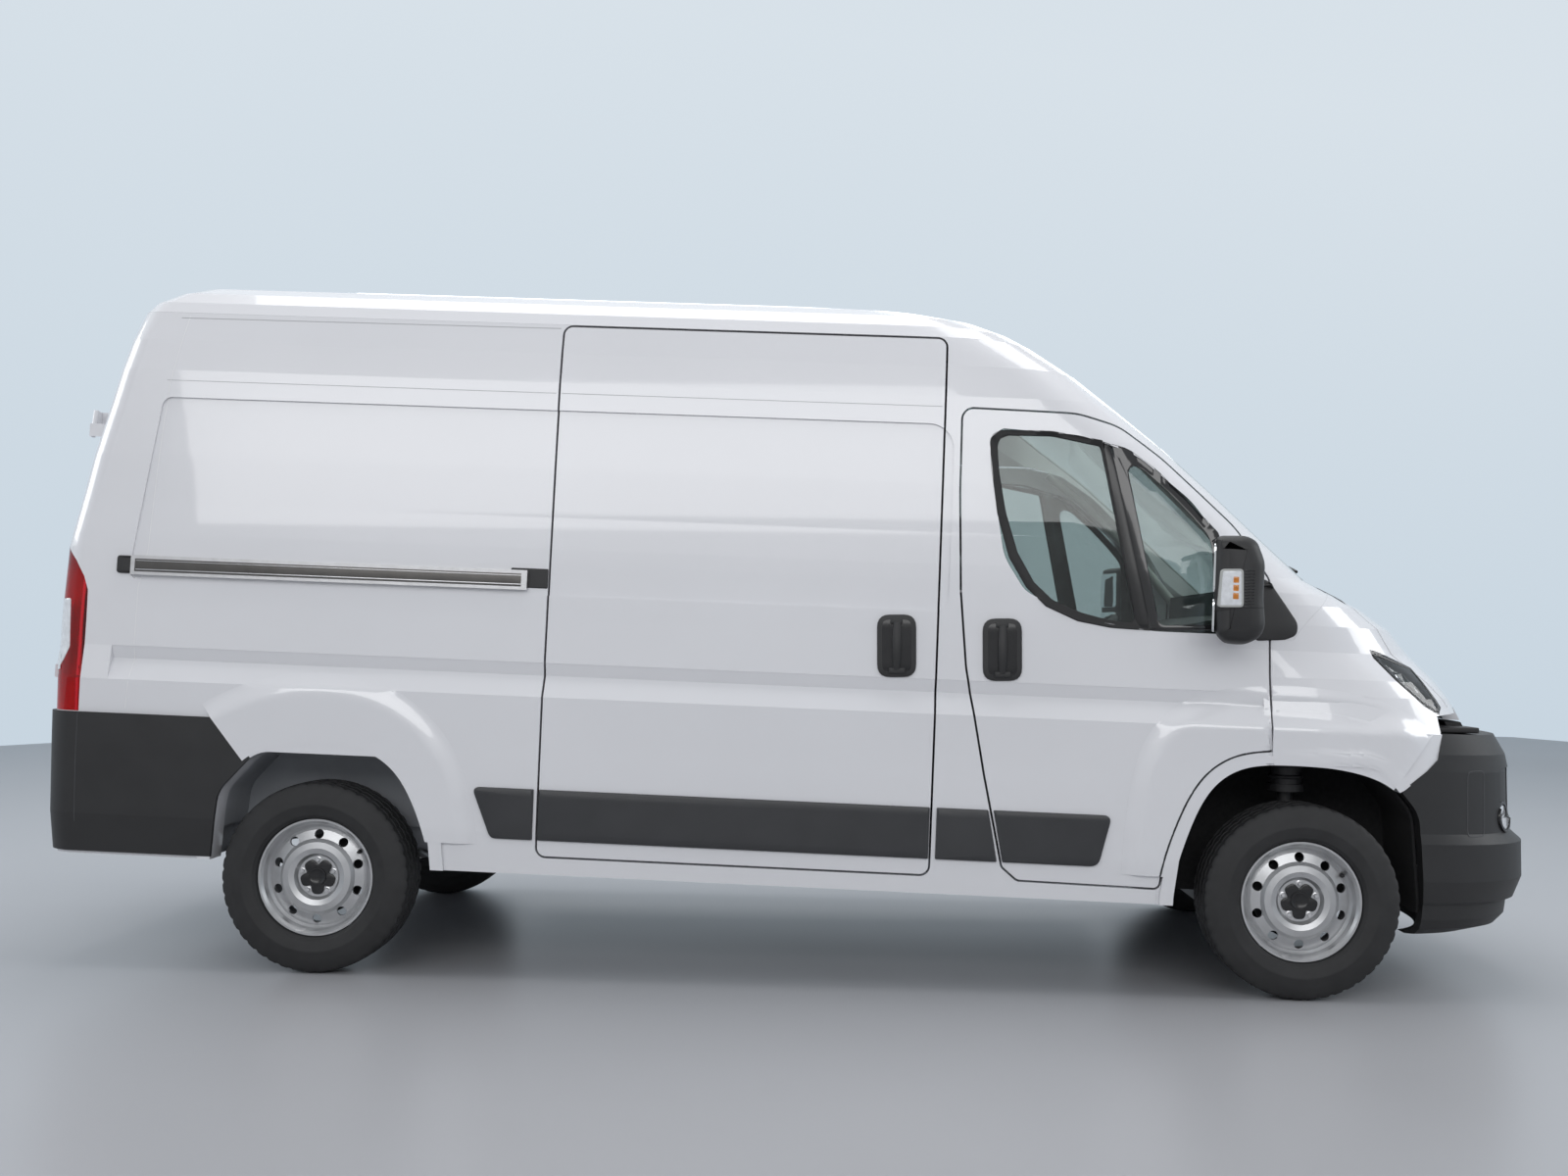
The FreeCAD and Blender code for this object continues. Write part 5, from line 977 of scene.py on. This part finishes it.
# Front: grille slats, blank plate, bumper fillers and fog lamps.
front_face, rear_face = on_end(1), on_end(-1)
slats = [pad(dense(box(-0.42, z, 0.42, z + 0.012), 0.04), front_face, 0.008, edge=0.003)
         for z in (0.760, 0.795, 0.830)]
joined("grille_slats", slats, gloss_black)
plate_white = look("plate_blank", (0.62, 0.62, 0.60), 0.35, (0.03, 20), coat=0.4)
front_plate = pad(soft(box(-0.26, 0.405, 0.26, 0.505), 0.01, 0.03), front_face, 0.0015, edge=0.001)
joined("front_plate", [front_plate], plate_white)
FOG_Y, FOG_Z, FOG_RADIUS = 0.74, 0.62, 0.055
fogs, fog_rims = [], []
for hand in SIDE_WORD:
    centre = (hand * FOG_Y, FOG_Z)
    outer, inner = circle(centre, FOG_RADIUS), circle(centre, 0.043)
    fog_rims.append(ring(outer, inner, centre, front_face, 0.008, count=40))
    fogs.append(pad(circle(centre, FOG_RADIUS * 0.79), front_face, 0.004))
fillers = [soft_box((2.355, hand * 0.715, 0.930), (0.14, 0.20, 0.02), 0.004) for hand in SIDE_WORD]
joined("bumper_fillers", fillers, black)
joined("fog_rims", fog_rims, gloss_black)
joined("fog_lenses", fogs, lamp_white)

# Bumper corners: the outline of the front panel and the seam of the rear bumper.
BUMPER_PANEL = metres((2340, 805), (2417, 809), (2423, 577), (2346, 574))
for hand, word in SIDE_WORD.items():
    panel = soft(BUMPER_PANEL, 0.02, 0.015)
    line = ring(panel, inset(panel, 0.004), (2.38, 0.69), on_side(hand), 0.0008, sunk=0.001, count=80)
    joined(f"bumper_panel_line_{word}", [line], seam_dark)
    seam = bead(hand, [(-2.560, 0.808), (-2.560, 0.62), (-2.556, 0.42)], 0.004, 0.0005)
    joined(f"bumper_seam_{word}", [seam], seam_dark)

# Rear: third brake lamp, door handle and blank plate.
brake = pad(soft(box(-0.16, 2.345, 0.16, 2.372), 0.008), rear_face, 0.010, edge=0.004)
joined("high_brake_lamp", [brake], lens_red)
handle_plate = pad(soft(box(-0.175, 1.20, -0.045, 1.36), 0.03, 0.015), rear_face, 0.006, edge=0.003)
grip = [end_skin(-1, -0.11, 1.215 + 0.13 * t) - Vector((0.010 + 0.004 * math.sin(math.pi * t), 0, 0))
        for t in shares(8)]
joined("rear_handle", [handle_plate, tube(grip, 0.010, sides=12, across=(1, 0, 0))], black, "load_door_right",
       sharp=50)
rear_plate = pad(rounded(box(0.16, 0.985, 0.68, 1.097), 0.01), rear_face, 0.004)
joined("rear_plate", [rear_plate], plate_white, "load_door_left")

# Wipers at rest on the windscreen.
DOWN = Vector((0, 0, -1))
screen_tree = tree_of(nodes["windscreen"], nodes["bonnet"])
wipers = []
for y0, y1 in ((0.52, -0.06), (-0.10, -0.66)):
    blade = []
    for t in shares(14):
        y = y0 + (y1 - y0) * t
        x = 1.84 - 0.05 * abs(y) ** 2 - 0.03 * math.sin(math.pi * t)
        hit, _, _, _ = screen_tree.ray_cast(Vector((x, y, ABOVE)), DOWN)
        if hit is not None:
            blade.append(hit + Vector((0.004, 0, 0.008)))
    wipers.append(tube(blade, 0.006))
joined("wipers", wipers, black)

# Load floor lining on the board.
LINING_BACK, LINING_FRONT, LINING_HALF, LINING_GAP, LINING_THICK = -2.45, 0.40, 0.56, 0.0006, 0.002
load_tree = tree_of(nodes["floor"])


def board_height(x, missed=None):
    hit, _, _, _ = load_tree.ray_cast(Vector((x, 0.0, INSIDE)), DOWN)
    return missed if hit is None else hit.z


heights = {x: board_height(x, board_height(-1.0)) + LINING_GAP for x in (LINING_BACK, LINING_FRONT)}
verts = [(x, y, heights[x] + up) for up in (0.0, LINING_THICK)
         for x, y in box(LINING_BACK, -LINING_HALF, LINING_FRONT, LINING_HALF)]
lining_faces = [(0, 3, 2, 1), (4, 5, 6, 7), (0, 1, 5, 4), (1, 2, 6, 5), (2, 3, 7, 6), (3, 0, 4, 7)]
new_piece("load_lining", verts, lining_faces, rubber_mat, "root", smooth=False)


# Stage: floor, wall, lights and camera.
def stage_material(name, colour_low, colour_high, low, high):
    """A wash of colour by height that looks the same to the camera however it is lit."""
    mat, plain, add, join = start_material(name)
    put(plain, {"Roughness": 0.9})
    where, split = add("TexCoord"), add("SeparateXYZ")
    join(where, "Object", split, 0)
    span = add("MapRange", {"From Min": low, "From Max": high})
    join(split, "Z", span, "Value")
    ramp = add("ValToRGB")
    for element, colour in zip(ramp.color_ramp.elements, (colour_low, colour_high)):
        element.color = (*colour, 1)
    join(span, "Result", ramp, "Fac")
    glow = add("Emission")
    join(ramp, "Color", glow, "Color")
    join(ramp, "Color", plain, "Base Color")
    path, seen, both = add("LightPath"), add("Math"), add("Math")
    seen.operation = both.operation = "MAXIMUM"
    join(path, "Is Camera Ray", seen, 0)
    join(path, "Is Glossy Ray", seen, 1)
    join(seen, 0, both, 0)
    join(path, "Is Transmission Ray", both, 1)
    return show_mix(mat, add, join, both, 0, plain, glow)


def flat_mesh(name, verts, faces, mat):
    mesh = bpy.data.meshes.new(name)
    mesh.from_pydata(verts, [], faces)
    mesh.materials.append(mat)
    obj = bpy.data.objects.new(name, mesh)
    scene.collection.objects.link(obj)
    return obj


WALL = ((-30.0, -24.0), (-16.0, -4.0), (-8.9, 7.2), (-8.5, 9.3), (-8.1, 10.2), (-7.2, 11.0), (0.0, 13.8),
        (9.0, 17.2), (9.8, 17.2), (10.2, 16.2), (12.0, 8.0), (18.0, -4.0), (30.0, -24.0))
WALL_LEVELS = (0.0, 4.0, 9.0, 16.0)
wall_look = stage_material("wall_look", (0.575, 0.665, 0.745), (0.685, 0.755, 0.815), 0.0, 9.0)
wall = flat_mesh("studio_wall", [(x, y, z) for z in WALL_LEVELS for x, y in WALL],
                 grid(len(WALL_LEVELS), len(WALL), wrap_columns=False), wall_look)
for polygon in wall.data.polygons:
    polygon.use_smooth = True
floor_look = look("studio_floor_look", (0.385, 0.39, 0.41), 0.34, (0.03, 0.4), rough_spread=0.05,
                  grain=(0.03, 12, 0.002))
floor_corners = [(x, y, 0) for x, y in box(-30, -24, 30, 18)]
studio_floor = flat_mesh("studio_floor", floor_corners, [(0, 1, 2, 3)], floor_look)

for name, where, size, size_y, power, target in (
        ("softbox_near", (0.0, -9.5, 4.6), 12.0, 3.0, 300, (0, -0.5, 0.9)),
        ("softbox_top", (0.0, 0.0, 6.6), 7.0, 4.0, 200, (0, 0, 0)),
        ("softbox_far", (0.0, 7.5, 5.6), 9.0, 3.0, 160, (0, 0.5, 0.9)),
        ("softbox_front", (8.5, -1.0, 4.2), 4.0, 3.0, 150, (1, 0, 0.9)),
        ("softbox_rear", (-8.5, -1.0, 4.2), 4.0, 3.0, 150, (-1, 0, 0.9))):
    lamp = bpy.data.lights.new(name, "AREA")
    lamp.shape = "RECTANGLE"
    lamp.size = size
    lamp.size_y = size_y
    lamp.energy = power
    obj = bpy.data.objects.new(name, lamp)
    obj.location = where
    obj.rotation_euler = (Vector(target) - Vector(where)).to_track_quat("-Z", "Y").to_euler()
    scene.collection.objects.link(obj)

world = bpy.data.worlds.new("studio_world")
scene.world = world
world.use_nodes = True
world.node_tree.nodes["Background"].inputs["Color"].default_value = (0.93, 0.96, 1.0, 1)
world.node_tree.nodes["Background"].inputs["Strength"].default_value = 0.55

# The camera's place comes from fitting wheels, bumper and roof edges in the photograph.
YAW, PITCH_UP, ROLL = 0.0443, 0.0335, 0.0177
SENSOR, FOCAL_PIXELS, PICTURE_PIXELS = 36.0, 1632.6, 1600.0
ahead = Vector((-math.sin(YAW), math.cos(YAW), 0.0))
right = Vector((math.cos(YAW), math.sin(YAW), 0.0))
up = Vector((0.0, 0.0, 1.0))
ahead, up = (math.cos(PITCH_UP) * ahead + math.sin(PITCH_UP) * up,
             -math.sin(PITCH_UP) * ahead + math.cos(PITCH_UP) * up)
right, up = math.cos(ROLL) * right + math.sin(ROLL) * up, -math.sin(ROLL) * right + math.cos(ROLL) * up
camera_data = bpy.data.cameras.new("camera")
camera_data.sensor_width = SENSOR
camera_data.lens = SENSOR * FOCAL_PIXELS / PICTURE_PIXELS
camera_data.clip_end = 200.0
camera = bpy.data.objects.new("camera", camera_data)
turn = Matrix((right, up, -ahead)).transposed().to_4x4()
camera.matrix_world = Matrix.Translation((0.204, -6.606, 1.202)) @ turn
scene.collection.objects.link(camera)
scene.camera = camera
scene.view_settings.view_transform = "Standard"
